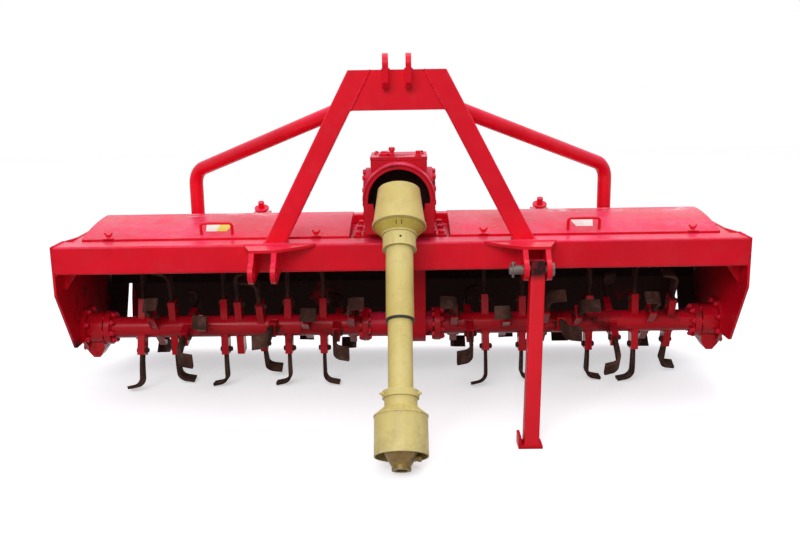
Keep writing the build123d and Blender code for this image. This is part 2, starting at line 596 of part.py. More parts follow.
# ---------------------------------------------------------------- end bearing housings
HUB_R = 55.0
BEARING_FLANGE_R = 78.0
BEARING_FLANGE_T = 12.0
BOSS_BOTTOM_Z = 120.0
BOSS_HALF_D = 34.0
BOSS_IN_X = END_HUB_X + 2.0
BOSS_OUT_X = PLATE_INNER_X - 4.0
BOSS_BEVEL_W = 18.0
BOSS_IN_BEVEL_H = 26.0
BOSS_OUT_BEVEL_H = 22.0
for name, side in (("left_bearing_housing", -1), ("right_bearing_housing", 1)):
    with BuildPart() as bearing_housing:
        with BuildSketch(Plane.YZ.offset(side * PLATE_INNER_X)):
            with Locations((ROTOR_Y, ROTOR_Z)):
                RegularPolygon(BEARING_FLANGE_R, 8, rotation=22.5)
        extrude(amount=-side * BEARING_FLANGE_T)
        with BuildSketch(Plane.YZ.offset(side * END_HUB_X)):
            with Locations((ROTOR_Y, ROTOR_Z)):
                Circle(HUB_R)
        extrude(amount=side * (PLATE_INNER_X - END_HUB_X))
        with BuildSketch(Plane.XZ.offset(-ROTOR_Y)):
            with BuildLine():
                Polyline(
                    (side * BOSS_IN_X, ROTOR_Z),
                    (side * BOSS_IN_X, BOSS_BOTTOM_Z + BOSS_IN_BEVEL_H),
                    (side * (BOSS_IN_X + BOSS_BEVEL_W), BOSS_BOTTOM_Z),
                    (side * (BOSS_OUT_X - BOSS_BEVEL_W), BOSS_BOTTOM_Z),
                    (side * BOSS_OUT_X, BOSS_BOTTOM_Z + BOSS_OUT_BEVEL_H),
                    (side * BOSS_OUT_X, ROTOR_Z),
                    close=True,
                )
            make_face()
        extrude(amount=BOSS_HALF_D, both=True)
        with Locations((side * END_HUB_X, ROTOR_Y, ROTOR_Z)):
            Cylinder(
                JOURNAL_R + RUNNING_CLEARANCE, 2.5 * (PLATE_INNER_X - END_HUB_X),
                rotation=(0, 90, 0), mode=Mode.SUBTRACT,
            )
    finish(bearing_housing, name)

# ---------------------------------------------------------------- tines
TINE_T = 10.0
TINE_W = 34.0
TINE_BEND_R = 26.0        # inside of the bend
TINE_BEND = 78.0          # degrees
TINE_FOOT_L = 26.0
SOCKET_FLOOR_R = 54.0
SOCKET_TOP_R = 96.0
SOCKET_X = 24.0
SOCKET_Y = 48.0
FOOT_DROP = 43.8          # from the start of the bend to the foot's lowest point
TINE_SHANK_L = 62.0       # straight part of the shank, from its root
TINE_ROOT_CUT = 5.0
TIP_SWEEP_IN = 4.0        # leading and trailing edges of the foot, seen from the side
TIP_SWEEP_OUT = 48.0
EDGE_BOW_UP = 46.0
BEND_START_R = TIP_RADIUS - FOOT_DROP
TINE_ROOT_R = SOCKET_FLOOR_R + SEAT_GAP

# tine with its foot turned towards +X, pointing straight down, rotor axis at the origin
with BuildPart() as tine_blade:
    with BuildSketch(Plane.XZ):
        with BuildLine():
            bend_centre = (TINE_T / 2 + TINE_BEND_R, -BEND_START_R)
            inner_arc = CenterArc(bend_centre, TINE_BEND_R, 180, TINE_BEND)
            outer_arc = CenterArc(bend_centre, TINE_BEND_R + TINE_T, 180, TINE_BEND)
            inner_foot = Line(inner_arc @ 1, inner_arc @ 1 + (inner_arc % 1) * TINE_FOOT_L)
            outer_foot = Line(outer_arc @ 1, outer_arc @ 1 + (outer_arc % 1) * TINE_FOOT_L)
            Line(inner_foot @ 1, outer_foot @ 1)
            Line(inner_arc @ 0, (TINE_T / 2, -TINE_ROOT_R))
            Line((TINE_T / 2, -TINE_ROOT_R), (-TINE_T / 2, -TINE_ROOT_R))
            Line((-TINE_T / 2, -TINE_ROOT_R), outer_arc @ 0)
        make_face()
    extrude(amount=2 * TINE_W, both=True)
    with BuildSketch(Plane.YZ):
        with BuildLine():
            front_edge = Polyline(
                (-TINE_W / 2, TINE_ROOT_CUT - TINE_ROOT_R), (-TINE_W / 2, -TINE_ROOT_R - TINE_SHANK_L)
            )
            front_sweep = ThreePointArc(
                front_edge @ 1,
                (TIP_SWEEP_IN - TINE_W / 2, EDGE_BOW_UP - TIP_RADIUS),
                (TIP_SWEEP_IN, -TIP_RADIUS - TINE_ROOT_CUT),
            )
            tip_edge = Line(front_sweep @ 1, (TIP_SWEEP_OUT, -TIP_RADIUS - TINE_ROOT_CUT))
            rear_sweep = ThreePointArc(
                tip_edge @ 1,
                (TINE_W - TIP_SWEEP_IN, EDGE_BOW_UP - TIP_RADIUS),
                (TINE_W / 2, -TINE_ROOT_R - TINE_SHANK_L),
            )
            Polyline(rear_sweep @ 1, (TINE_W / 2, TINE_ROOT_CUT - TINE_ROOT_R), front_edge @ 0)
        make_face()
    extrude(amount=3 * TINE_W, both=True, mode=Mode.INTERSECT)

with BuildPart() as tine_blade_mirrored:
    add(mirror(tine_blade.part, about=Plane.YZ))

# welded socket for one tine, rotor axis at the origin, opening downwards
with BuildPart() as tine_socket:
    with Locations((0, 0, -SOCKET_TOP_R / 2)):
        Box(SOCKET_X, SOCKET_Y, SOCKET_TOP_R)
    with Locations((0, 0, -(SOCKET_FLOOR_R + SOCKET_TOP_R) / 2)):
        Box(
            TINE_T + 2 * SEAT_GAP, TINE_W + 2 * SEAT_GAP, SOCKET_TOP_R - SOCKET_FLOOR_R, mode=Mode.SUBTRACT
        )

# station x, angle of the lower tine from straight down (+ forwards), foot side of the
# lower tine and of the one opposite it (-1, +1, or 0 where the socket is empty)
TINE_STATIONS = {
    "left": (
        (-893, 18.6, -1, 1), (-842, -48, -1, 1), (-783, -6, 1, -1), (-732, 78, 1, -1),
        (-678, -66, -1, 1), (-608, 5.1, -1, 1), (-557, -8, 0, 1), (-480, -22, 1, -1),
        (-434, 96, -1, 1), (-389, 5.1, -1, 1), (-324, -60, -1, 1), (-268, 5.1, 1, -1),
        (-220, 84, 1, -1), (-170, -50, -1, 1),
    ),
    "right": (
        (178, -50, 1, -1), (230, 78, -1, 1), (286, 18.6, -1, 1), (352, -60, 1, -1),
        (412, 2, 1, -1), (486, -45, -1, 1), (532, 100, 1, -1), (594, -55, -1, 1),
        (640, 0, 1, -1), (716, 62, -1, 1), (796, 5.1, -1, 1), (842, -48, 1, -1),
        (914, -20, 1, -1),
    ),
}
TINE_END_GAP = 60.0       # last tine to the end bearing housing
for name, side in (("left", -1), ("right", 1)):
    stations = [row for row in TINE_STATIONS[name] if abs(row[0]) < END_HUB_X - TINE_END_GAP]
    shaft_in_x = side * INNER_FLANGE_X
    shaft_out_x = side * (END_HUB_X - END_GAP)
    with BuildPart() as half_shaft:
        with BuildSketch(Plane.YZ.offset(shaft_in_x)):
            with Locations((ROTOR_Y, ROTOR_Z)):
                Circle(ROTOR_TUBE_R)
        extrude(amount=shaft_out_x - shaft_in_x)
        for flange_x, toward in ((shaft_in_x, side), (shaft_out_x, -side)):
            with BuildSketch(Plane.YZ.offset(flange_x)):
                with Locations((ROTOR_Y, ROTOR_Z)):
                    Circle(ROTOR_FLANGE_R)
            extrude(amount=toward * ROTOR_FLANGE_T)
        with BuildSketch(Plane.YZ.offset(shaft_out_x)):
            with Locations((ROTOR_Y, ROTOR_Z)):
                Circle(JOURNAL_R)
        extrude(amount=side * (PLATE_INNER_X - END_HUB_X))
        for station_x, angle, low_foot, high_foot in stations:
            for turn in (angle, angle + 180):
                with Locations((station_x, ROTOR_Y, ROTOR_Z)):
                    add(tine_socket.part, rotation=(-turn, 0, 0))
    finish(half_shaft, name + "_rotor_shaft")

    with BuildPart() as tines:
        for station_x, angle, low_foot, high_foot in stations:
            for turn, foot in ((angle, low_foot), (angle + 180, high_foot)):
                if foot:
                    blade = tine_blade if foot > 0 else tine_blade_mirrored
                    with Locations((station_x, ROTOR_Y, ROTOR_Z)):
                        add(blade.part, rotation=(-turn, 0, 0))
    finish(tines, name + "_tines")

# ---------------------------------------------------------------- top covers
COVER_T = 3.0
COVER_IN_X = 162.0
COVER_END_GAP = 60.0      # to the end plate
COVER_OUT_X = PLATE_INNER_X - COVER_END_GAP
COVER_INSET = 97.0        # front edge behind the beam's front face
COVER_FRONT_Y = BEAM_FRONT_Y + COVER_INSET
COVER_ARC_R = 1100.0
COVER_CREST_BACK = 375.0
COVER_TOP_Y = BEAM_FRONT_Y + COVER_CREST_BACK
COVER_TOP_Z = 590.0
COVER_REAR_DROP = 18.0    # behind the crest the sheet falls away to its rear wall
COVER_REAR_GAP = 30.0     # to the rear bar
COVER_REAR_Y = DECK_REAR_Y - REAR_BAR_D - COVER_REAR_GAP
COVER_HINGE_IN = 140.0    # hinge's middle in from each end of the cover
HINGE_PIN_FREE = 24.0     # pin past each end of the knuckle
HINGE_BRACKET_T = 8.0
HINGE_BRACKET_R = 6.0
HINGE_RUNNING_GAP = 0.3
COVER_BOTTOM_Z = DECK_TOP_Z + SEAT_GAP
COVER_PIN_R = 4.0
COVER_KNUCKLE_R = 8.0
COVER_KNUCKLE_BITE = 1.5  # knuckle let into the cover's rear wall
COVER_PIN_DROP = 37.0
COVER_PIN_Y = COVER_REAR_Y + COVER_KNUCKLE_R - COVER_KNUCKLE_BITE
COVER_PIN_Z = COVER_TOP_Z - COVER_PIN_DROP
COVER_KNUCKLE_L = 70.0
COVER_HINGE_X = (COVER_IN_X + COVER_HINGE_IN, COVER_OUT_X - COVER_HINGE_IN)
HANDLE_R = 5.0
HANDLE_MID_X = (COVER_IN_X + COVER_OUT_X) / 2
HANDLE_HALF_L = 50.0
HANDLE_BACK = 30.0        # behind the cover's front edge
HANDLE_Y = COVER_FRONT_Y + HANDLE_BACK
HANDLE_RISE = 36.0
HANDLE_LEAN = 6.0         # top of the handle forward of its feet
HANDLE_SINK = 2.5         # feet cut to the cover's curve
HANDLE_BEND_R = 10.0
HANDLE_IN_X = HANDLE_MID_X - HANDLE_HALF_L
HANDLE_OUT_X = HANDLE_MID_X + HANDLE_HALF_L


def cover_z(y, inset=0.0):
    """Height of the cover's arc at y, moved in by inset."""
    return COVER_TOP_Z - COVER_ARC_R + ((COVER_ARC_R - inset) ** 2 - (y - COVER_TOP_Y) ** 2) ** 0.5


for name, side in (("left_cover", -1), ("right_cover", 1)):
    length = COVER_OUT_X - COVER_IN_X
    with BuildPart() as cover:
        for inset, start_x, run, mode in (
            (0.0, COVER_IN_X, length, Mode.ADD),
            (COVER_T, COVER_IN_X + COVER_T, length - 2 * COVER_T, Mode.SUBTRACT),
        ):
            front_y = COVER_FRONT_Y + inset
            rear_y = COVER_REAR_Y - inset
            bottom_z = COVER_BOTTOM_Z - inset
            with BuildSketch(Plane.YZ.offset(side * start_x)):
                with BuildLine():
                    middle_y = (front_y + COVER_TOP_Y) / 2
                    arc = ThreePointArc(
                        (front_y, cover_z(front_y, inset)),
                        (middle_y, cover_z(middle_y, inset)),
                        (COVER_TOP_Y, COVER_TOP_Z - inset),
                    )
                    rear_z = COVER_TOP_Z - COVER_REAR_DROP - inset
                    Polyline(arc @ 1, (rear_y, rear_z), (rear_y, bottom_z), (front_y, bottom_z), arc @ 0)
                make_face()
            extrude(amount=side * run, mode=mode)
    with BuildPart() as cover_with_knuckles:
        add(cover.part)
        for knuckle_x in COVER_HINGE_X:
            with BuildSketch(Plane.YZ.offset(side * knuckle_x)):
                with Locations((COVER_PIN_Y, COVER_PIN_Z)):
                    Circle(COVER_KNUCKLE_R)
            extrude(amount=COVER_KNUCKLE_L / 2, both=True)
            with BuildSketch(Plane.YZ.offset(side * knuckle_x)):
                with Locations((COVER_PIN_Y, COVER_PIN_Z)):
                    Circle(COVER_PIN_R + HINGE_RUNNING_GAP)
            extrude(amount=COVER_KNUCKLE_L, both=True, mode=Mode.SUBTRACT)
    finish(cover_with_knuckles, name)

    with BuildPart() as hinge_pins:
        for knuckle_x in COVER_HINGE_X:
            half = COVER_KNUCKLE_L / 2 + HINGE_PIN_FREE
            with BuildSketch(Plane.YZ.offset(side * knuckle_x)):
                with Locations((COVER_PIN_Y, COVER_PIN_Z)):
                    Circle(COVER_PIN_R)
            extrude(amount=half, both=True)
            for end in (-1, 1):
                with BuildSketch(Plane.YZ.offset(side * knuckle_x + end * (half - HINGE_BRACKET_T))):
                    with Locations((COVER_PIN_Y, COVER_PIN_Z)):
                        Circle(HINGE_BRACKET_R)
                    with BuildLine():
                        Polyline(
                            (COVER_PIN_Y - COVER_PIN_R, DECK_TOP_Z),
                            (COVER_PIN_Y + 2 * HINGE_BRACKET_R, DECK_TOP_Z),
                            (COVER_PIN_Y + HINGE_BRACKET_R, COVER_PIN_Z),
                            (COVER_PIN_Y - COVER_PIN_R, COVER_PIN_Z),
                            close=True,
                        )
                    make_face()
                extrude(amount=HINGE_BRACKET_T / 2, both=True)
    finish(hinge_pins, name + "_hinges")

    handle_z = cover_z(HANDLE_Y) + SEAT_GAP
    with BuildPart() as handle:
        with BuildLine():
            FilletPolyline(
                (side * HANDLE_IN_X, HANDLE_Y, handle_z - HANDLE_SINK),
                (side * HANDLE_IN_X, HANDLE_Y - HANDLE_LEAN, handle_z + HANDLE_RISE),
                (side * HANDLE_OUT_X, HANDLE_Y - HANDLE_LEAN, handle_z + HANDLE_RISE),
                (side * HANDLE_OUT_X, HANDLE_Y, handle_z - HANDLE_SINK),
                radius=HANDLE_BEND_R,
            )
        with BuildSketch(Plane((side * HANDLE_IN_X, HANDLE_Y, handle_z - HANDLE_SINK))):
            Circle(HANDLE_R)
        sweep()
        add(cover.part, mode=Mode.SUBTRACT)
    finish(handle, name + "_handle")

# ---------------------------------------------------------------- rear levelling board
BOARD_T = 3.0
BOARD_END_GAP = 7.0       # to the end plates' inward flanges
BOARD_HALF_L = PLATE_INNER_X - REAR_FLANGE_W - BOARD_END_GAP
BOARD_LENGTH = 262.0
BOARD_LEAN = 24.0         # degrees from upright, backwards, as it hangs
BOARD_KNUCKLE_R = 13.0
BOARD_KNUCKLE_L = 60.0
BOARD_KNUCKLE_IN = 113.0  # outer knuckles, in from the board's ends
OUTER_KNUCKLE_X = BOARD_HALF_L - BOARD_KNUCKLE_IN
BOARD_KNUCKLE_X = (-OUTER_KNUCKLE_X, -OUTER_KNUCKLE_X / 2, OUTER_KNUCKLE_X / 2, OUTER_KNUCKLE_X)
BOARD_LIP = 26.0          # bottom edge turned backwards
BOARD_LIP_DROP = 8.0
BOARD_TOP_GAP = 5.0       # board's top edge below the hinge rod
RIB_ALONG = (90.0, 160.0)
RIB_H = 14.0
RIB_STEP = 10.0           # each third of the rib's width
RIB_END_IN = 30.0
STRAP_TOP = 4.0           # knuckle's strap, down the board
STRAP_END = 40.0
STRAP_T = 6.0
STRAP_TOP_OUT = 12.0
STRAP_TOP_IN = 2.0
HINGE_EAR_T = 8.0         # ears that carry the hinge rod
HINGE_EAR_GAP = 5.0
ROD_X = 505.0
ROD_R = 11.0
ROD_PIN_ALONG = 200.0     # rod's lower pin: down the board, and out from its back
ROD_PIN_OUT = 42.0
ROD_PIN_R = 7.0
ROD_PIN_HALF_L = 24.0
ROD_EAR_X = 19.0          # ears each side of the rod, from its middle
ROD_EAR_T = 6.0
ROD_EAR_HALF_FOOT = 30.0
ROD_EAR_HALF_TOP = 14.0
lean = radians(BOARD_LEAN)


def on_board(along, out):
    """A point in the YZ plane, measured down the hanging board and out from its back."""
    return (
        BOARD_HINGE_Y + along * sin(lean) + out * cos(lean),
        BOARD_HINGE_Z - along * cos(lean) + out * sin(lean),
    )


with BuildPart() as board_hinge_rod:
    with BuildSketch(Plane.YZ):
        with Locations((BOARD_HINGE_Y, BOARD_HINGE_Z)):
            Circle(BOARD_HINGE_R)
    extrude(amount=BOARD_HALF_L + BOARD_END_GAP / 2, both=True)
    for bracket_x in BOARD_KNUCKLE_X:
        for end in (-1, 1):
            ear_x = bracket_x + end * (BOARD_KNUCKLE_L / 2 + HINGE_EAR_GAP + HINGE_EAR_T / 2)
            with BuildSketch(Plane.YZ.offset(ear_x)):
                with BuildLine():
                    Polyline(
                        (BOARD_HINGE_Y - BOARD_HINGE_R, BOARD_HINGE_Z),
                        (BOARD_HINGE_Y + BOARD_HINGE_R, BOARD_HINGE_Z),
                        (BOARD_HINGE_Y, BOARD_HINGE_Z + DECK_EDGE_RISE),
                        (BOARD_HINGE_Y - DECK_T, BOARD_HINGE_Z + DECK_EDGE_RISE),
                        close=True,
                    )
                make_face()
            extrude(amount=HINGE_EAR_T / 2, both=True)
finish(board_hinge_rod, "board_hinge_rod")

with BuildPart() as trailing_board:
    with BuildSketch(Plane.YZ):
        with BuildLine():
            Polyline(
                on_board(BOARD_HINGE_R + BOARD_TOP_GAP, 0),
                on_board(BOARD_LENGTH, 0),
                on_board(BOARD_LENGTH + BOARD_LIP_DROP, BOARD_LIP),
                on_board(BOARD_LENGTH + BOARD_LIP_DROP - BOARD_T, BOARD_LIP),
                on_board(BOARD_LENGTH - BOARD_T, BOARD_T),
                on_board(BOARD_HINGE_R + BOARD_TOP_GAP, BOARD_T),
                close=True,
            )
        make_face()
    extrude(amount=BOARD_HALF_L, both=True)
    for rib_along in RIB_ALONG:
        with BuildSketch(Plane.YZ):
            with BuildLine():
                Polyline(
                    on_board(rib_along, BOARD_T),
                    on_board(rib_along + RIB_STEP, BOARD_T + RIB_H),
                    on_board(rib_along + 2 * RIB_STEP, BOARD_T + RIB_H),
                    on_board(rib_along + 3 * RIB_STEP, BOARD_T),
                    close=True,
                )
            make_face()
        extrude(amount=BOARD_HALF_L - RIB_END_IN, both=True)
    for knuckle_x in BOARD_KNUCKLE_X:
        with BuildSketch(Plane.YZ.offset(knuckle_x)):
            with Locations((BOARD_HINGE_Y, BOARD_HINGE_Z)):
                Circle(BOARD_KNUCKLE_R)
        extrude(amount=BOARD_KNUCKLE_L / 2, both=True)
        with BuildSketch(Plane.YZ.offset(knuckle_x)):
            with BuildLine():
                Polyline(
                    on_board(STRAP_TOP, -STRAP_TOP_IN),
                    on_board(STRAP_END, BOARD_T),
                    on_board(STRAP_END, BOARD_T + STRAP_T),
                    on_board(STRAP_TOP, STRAP_TOP_OUT),
                    close=True,
                )
            make_face()
        extrude(amount=BOARD_KNUCKLE_L / 2, both=True)
    with Locations((0, BOARD_HINGE_Y, BOARD_HINGE_Z)):
        Cylinder(
            BOARD_HINGE_R + HINGE_RUNNING_GAP, 4 * BOARD_HALF_L, rotation=(0, 90, 0), mode=Mode.SUBTRACT
        )
    for side in (-1, 1):
        for ear in (-1, 1):
            with BuildSketch(Plane.YZ.offset(side * ROD_X + ear * ROD_EAR_X)):
                with BuildLine():
                    Polyline(
                        on_board(ROD_PIN_ALONG - ROD_EAR_HALF_FOOT, BOARD_T),
                        on_board(ROD_PIN_ALONG + ROD_EAR_HALF_FOOT, BOARD_T),
                        on_board(ROD_PIN_ALONG + ROD_EAR_HALF_TOP, ROD_PIN_OUT + ROD_EAR_HALF_TOP),
                        on_board(ROD_PIN_ALONG - ROD_EAR_HALF_TOP, ROD_PIN_OUT + ROD_EAR_HALF_TOP),
                        close=True,
                    )
                make_face()
            extrude(amount=ROD_EAR_T / 2, both=True)
        with BuildSketch(Plane.YZ.offset(side * ROD_X)):
            with Locations(on_board(ROD_PIN_ALONG, ROD_PIN_OUT)):
                Circle(ROD_PIN_R)
        extrude(amount=ROD_PIN_HALF_L, both=True)
finish(trailing_board, "trailing_board")

EYE_OUT = 42.0            # eye's centre behind the rear bar
EYE_UP = 30.0             # eye plate's middle above the deck
EYE_T = 10.0
EYE_PLATE_W = 60.0
EYE_PLATE_MARGIN = 33.0   # plate behind the eye's centre
EYE_SLACK = 3.0           # each side of the rod, and twice as much fore and aft
EYE_SLOT_RUN = 14.0
EYE_Y = DECK_REAR_Y + EYE_OUT
EYE_Z = DECK_TOP_Z + EYE_UP
rod_foot = on_board(ROD_PIN_ALONG, ROD_PIN_OUT)
ROD_RUN = ((EYE_Y - rod_foot[0]) ** 2 + (EYE_Z - rod_foot[1]) ** 2) ** 0.5
rod_dir = ((EYE_Y - rod_foot[0]) / ROD_RUN, (EYE_Z - rod_foot[1]) / ROD_RUN)
ROD_STUB = 46.0
ROD_EYE_WALL = 9.0        # ring around the lower pin
ROD_EYE_HALF_L = 15.0
NUT_R = 26.0
NUT_T = 6.0
LOWER_NUT_ALONG = 60.0
UPPER_NUT_ABOVE = 17.0    # above the eye plate's middle
SPRING_R = 23.0
SPRING_BORE_R = 17.0
SPRING_TOP_BELOW = 104.0  # below the eye plate's middle
SPRING_START = LOWER_NUT_ALONG + NUT_T + SEAT_GAP
for name, side in (("left", -1), ("right", 1)):
    with BuildPart() as rod_bracket:
        with BuildSketch(Plane.XY.offset(EYE_Z - EYE_T / 2)):
            with Locations((side * ROD_X, (DECK_REAR_Y + EYE_Y + EYE_PLATE_MARGIN) / 2)):
                Rectangle(EYE_PLATE_W, EYE_OUT + EYE_PLATE_MARGIN)
            with Locations((side * ROD_X, EYE_Y)):
                SlotCenterToCenter(EYE_SLOT_RUN, 2 * (ROD_R + EYE_SLACK), rotation=90, mode=Mode.SUBTRACT)
        extrude(amount=EYE_T)
    finish(rod_bracket, name + "_rod_bracket")

    rod_plane = Plane(
        origin=(side * ROD_X, *rod_foot), x_dir=(1, 0, 0), z_dir=(0, *rod_dir)
    )
    with BuildPart() as lift_rod:
        with BuildSketch(rod_plane):
            Circle(ROD_R)
        extrude(amount=ROD_RUN + ROD_STUB)
        with BuildSketch(Plane.YZ.offset(side * ROD_X)):
            with Locations(rod_foot):
                Circle(ROD_PIN_R + ROD_EYE_WALL)
        extrude(amount=ROD_EYE_HALF_L, both=True)
        for along in (LOWER_NUT_ALONG, ROD_RUN + UPPER_NUT_ABOVE):
            with BuildSketch(rod_plane.offset(along)):
                Circle(NUT_R)
            extrude(amount=NUT_T)
        with BuildSketch(Plane.YZ.offset(side * ROD_X)):
            with Locations(rod_foot):
                Circle(ROD_PIN_R + PIN_CLEARANCE)
        extrude(amount=2 * ROD_EYE_HALF_L, both=True, mode=Mode.SUBTRACT)
    finish(lift_rod, name + "_lift_rod")

    with BuildPart() as lift_spring:
        with BuildSketch(rod_plane.offset(SPRING_START)):
            Circle(SPRING_R)
            Circle(SPRING_BORE_R, mode=Mode.SUBTRACT)
        extrude(amount=ROD_RUN - SPRING_TOP_BELOW - SPRING_START)
    finish(lift_spring, name + "_lift_spring")

# ---------------------------------------------------------------- drive shaft
SHAFT_LEAN = 36.0         # degrees from upright, forwards
JOINT_FORWARD = 20.0      # upper joint in front of the beam
JOINT_Y = BEAM_FRONT_Y - JOINT_FORWARD
JOINT_Z = INPUT_Z
GUARD_T = 3.5
CROSS_PIN_R = 11.0
CROSS_REACH = 37.0
EAR_IN = 24.0
EAR_HALF_W = 20.0
YOKE_BASE_FROM_JOINT = 50.0
YOKE_BASE_T = 12.0
YOKE_BASE_CORNER = 8.0
YOKE_HUB_R = 27.0
YOKE_HUB_L = 34.0
CROSS_BLOCK = 34.0
CROSS_BLOCK_CORNER = 6.0
SHAFT_EAR_R = EAR_HALF_W - 2.0
SHAFT_BASE_R = CROSS_REACH + 2.0
INPUT_SHAFT_IN_BOX = 40.0
YOKE_BASE_Y = JOINT_Y + YOKE_BASE_FROM_JOINT
TILT = radians(SHAFT_LEAN)
shaft_dir = (0, -sin(TILT), -cos(TILT))
shaft_out = (0, -cos(TILT), sin(TILT))     # square to the shaft, forwards and up
joint = (0, JOINT_Y, JOINT_Z)
across_shaft = Plane(origin=joint, x_dir=(1, 0, 0), z_dir=shaft_dir)
along_shaft = Plane(origin=joint, x_dir=(1, 0, 0), z_dir=(0, cos(TILT), -sin(TILT)))
shaft_axis = Axis(joint, shaft_dir)


def shaft_point(along, out=0.0, x=0.0):
    """A point measured down the drive shaft from its upper joint."""
    return (
        x,
        JOINT_Y + along * shaft_dir[1] + out * shaft_out[1],
        JOINT_Z + along * shaft_dir[2] + out * shaft_out[2],
    )


def ear_plane(along, out):
    """Plane square to the ear's pin, that faces out from the shaft."""
    return Plane(origin=shaft_point(along, out), x_dir=(1, 0, 0), z_dir=shaft_out)


with BuildPart() as input_shaft:
    with BuildSketch(Plane.XZ.offset(-(BOX_FRONT_Y + INPUT_SHAFT_IN_BOX))):
        with Locations((0, INPUT_Z)):
            Circle(INPUT_SHAFT_R)
    extrude(amount=BOX_FRONT_Y + INPUT_SHAFT_IN_BOX - (YOKE_BASE_Y + YOKE_BASE_T))
finish(input_shaft, "input_shaft")

with BuildPart() as input_yoke:
    with BuildSketch(Plane.XZ.offset(-(YOKE_BASE_Y + YOKE_BASE_T + YOKE_HUB_L))):
        with Locations((0, INPUT_Z)):
            Circle(YOKE_HUB_R)
            Circle(INPUT_SHAFT_R + SEAT_GAP, mode=Mode.SUBTRACT)
    extrude(amount=YOKE_HUB_L)
    with BuildSketch(Plane.XZ.offset(-(YOKE_BASE_Y + YOKE_BASE_T))):
        with Locations((0, INPUT_Z)):
            RectangleRounded(2 * CROSS_REACH, 2 * EAR_HALF_W, YOKE_BASE_CORNER)
    extrude(amount=YOKE_BASE_T)
    for side in (-1, 1):
        with BuildSketch(Plane.YZ.offset(side * EAR_IN)):
            with Locations((JOINT_Y, INPUT_Z)):
                Circle(EAR_HALF_W)
            with Locations((JOINT_Y + YOKE_BASE_FROM_JOINT / 2, INPUT_Z)):
                Rectangle(YOKE_BASE_FROM_JOINT, 2 * EAR_HALF_W)
            with Locations((JOINT_Y, INPUT_Z)):
                Circle(CROSS_PIN_R + PIN_CLEARANCE, mode=Mode.SUBTRACT)
        extrude(amount=side * (CROSS_REACH - EAR_IN))
finish(input_yoke, "input_yoke")


def joint_cross(along):
    """Cross of a universal joint: a block with one pin along X and one square to it."""
    with BuildPart() as cross:
        with BuildSketch(Plane.YZ.offset(-CROSS_REACH)):
            with Locations(shaft_point(along)[1:]):
                Circle(CROSS_PIN_R)
        extrude(amount=2 * CROSS_REACH)
        with BuildSketch(ear_plane(along, -CROSS_REACH)):
            Circle(CROSS_PIN_R)
        extrude(amount=2 * CROSS_REACH)
        with BuildSketch(ear_plane(along, -CROSS_BLOCK / 2)):
            RectangleRounded(CROSS_BLOCK, CROSS_BLOCK, CROSS_BLOCK_CORNER)
        extrude(amount=CROSS_BLOCK)
    return cross


def shaft_ears(along, base_along):
    """Two ears that grip the cross pin square to X, reaching to base_along."""
    reach = base_along - along
    with BuildPart() as ears:
        for side in (-1, 1):
            with BuildSketch(ear_plane(along, side * EAR_IN)):
                Circle(SHAFT_EAR_R)
                with Locations((0, -reach / 2)):
                    Rectangle(2 * SHAFT_EAR_R, abs(reach))
                Circle(CROSS_PIN_R + PIN_CLEARANCE, mode=Mode.SUBTRACT)
            extrude(amount=side * (CROSS_REACH - EAR_IN))
    return ears


finish(joint_cross(0.0), "upper_joint_cross")

PROFILE_R = 25.0
PROFILE_BORE_R = 19.0
UPPER_BASE = 62.0
UPPER_BASE_T = 16.0
UPPER_PROFILE_END = 345.0
with BuildPart() as upper_shaft:
    add(shaft_ears(0.0, UPPER_BASE).part)
    with BuildSketch(across_shaft.offset(UPPER_BASE - UPPER_BASE_T / 2)):
        Circle(SHAFT_BASE_R)
    extrude(amount=UPPER_BASE_T)
    with BuildSketch(across_shaft.offset(UPPER_BASE + UPPER_BASE_T / 2)):
        Circle(PROFILE_R)
        Circle(PROFILE_BORE_R, mode=Mode.SUBTRACT)
    extrude(amount=UPPER_PROFILE_END - UPPER_BASE - UPPER_BASE_T / 2)
finish(upper_shaft, "upper_shaft")

# outlines of the two guards: distance down the shaft, outer radius
UPPER_GUARD = (
    (-50.0, 65.0), (71.0, 79.5), (104.0, 52.0), (104.0, 50.0), (148.0, 50.0), (148.0, 41.0),
    (374.0, 41.0),
)
LOWER_GUARD = (
    (300.0, 35.8), (586.0, 35.8), (586.0, 52.0), (606.0, 52.0), (606.0, 46.5), (631.0, 46.5),
    (656.0, 75.0), (768.0, 75.5),
)
UPPER_COLLAR_R = 50.0
LOWER_COLLAR_R = 46.5
# the ring inside each guard that runs on the shaft: start and end down the shaft
UPPER_BEARING = (101.0, 129.0)
LOWER_BEARING = (592.0, 624.0)
COLLAR_SKIN = 1.0         # the ring reaches this near to the collar's outside
BEARING_WALL = 12.0
CONE_SLOT_SIDE = 7.0      # slot at the back of the cone, past the yoke's sides
CONE_SLOT_START = -60.0
CONE_SLOT_END = 32.0
CONE_SLOT_DEPTH = 120.0


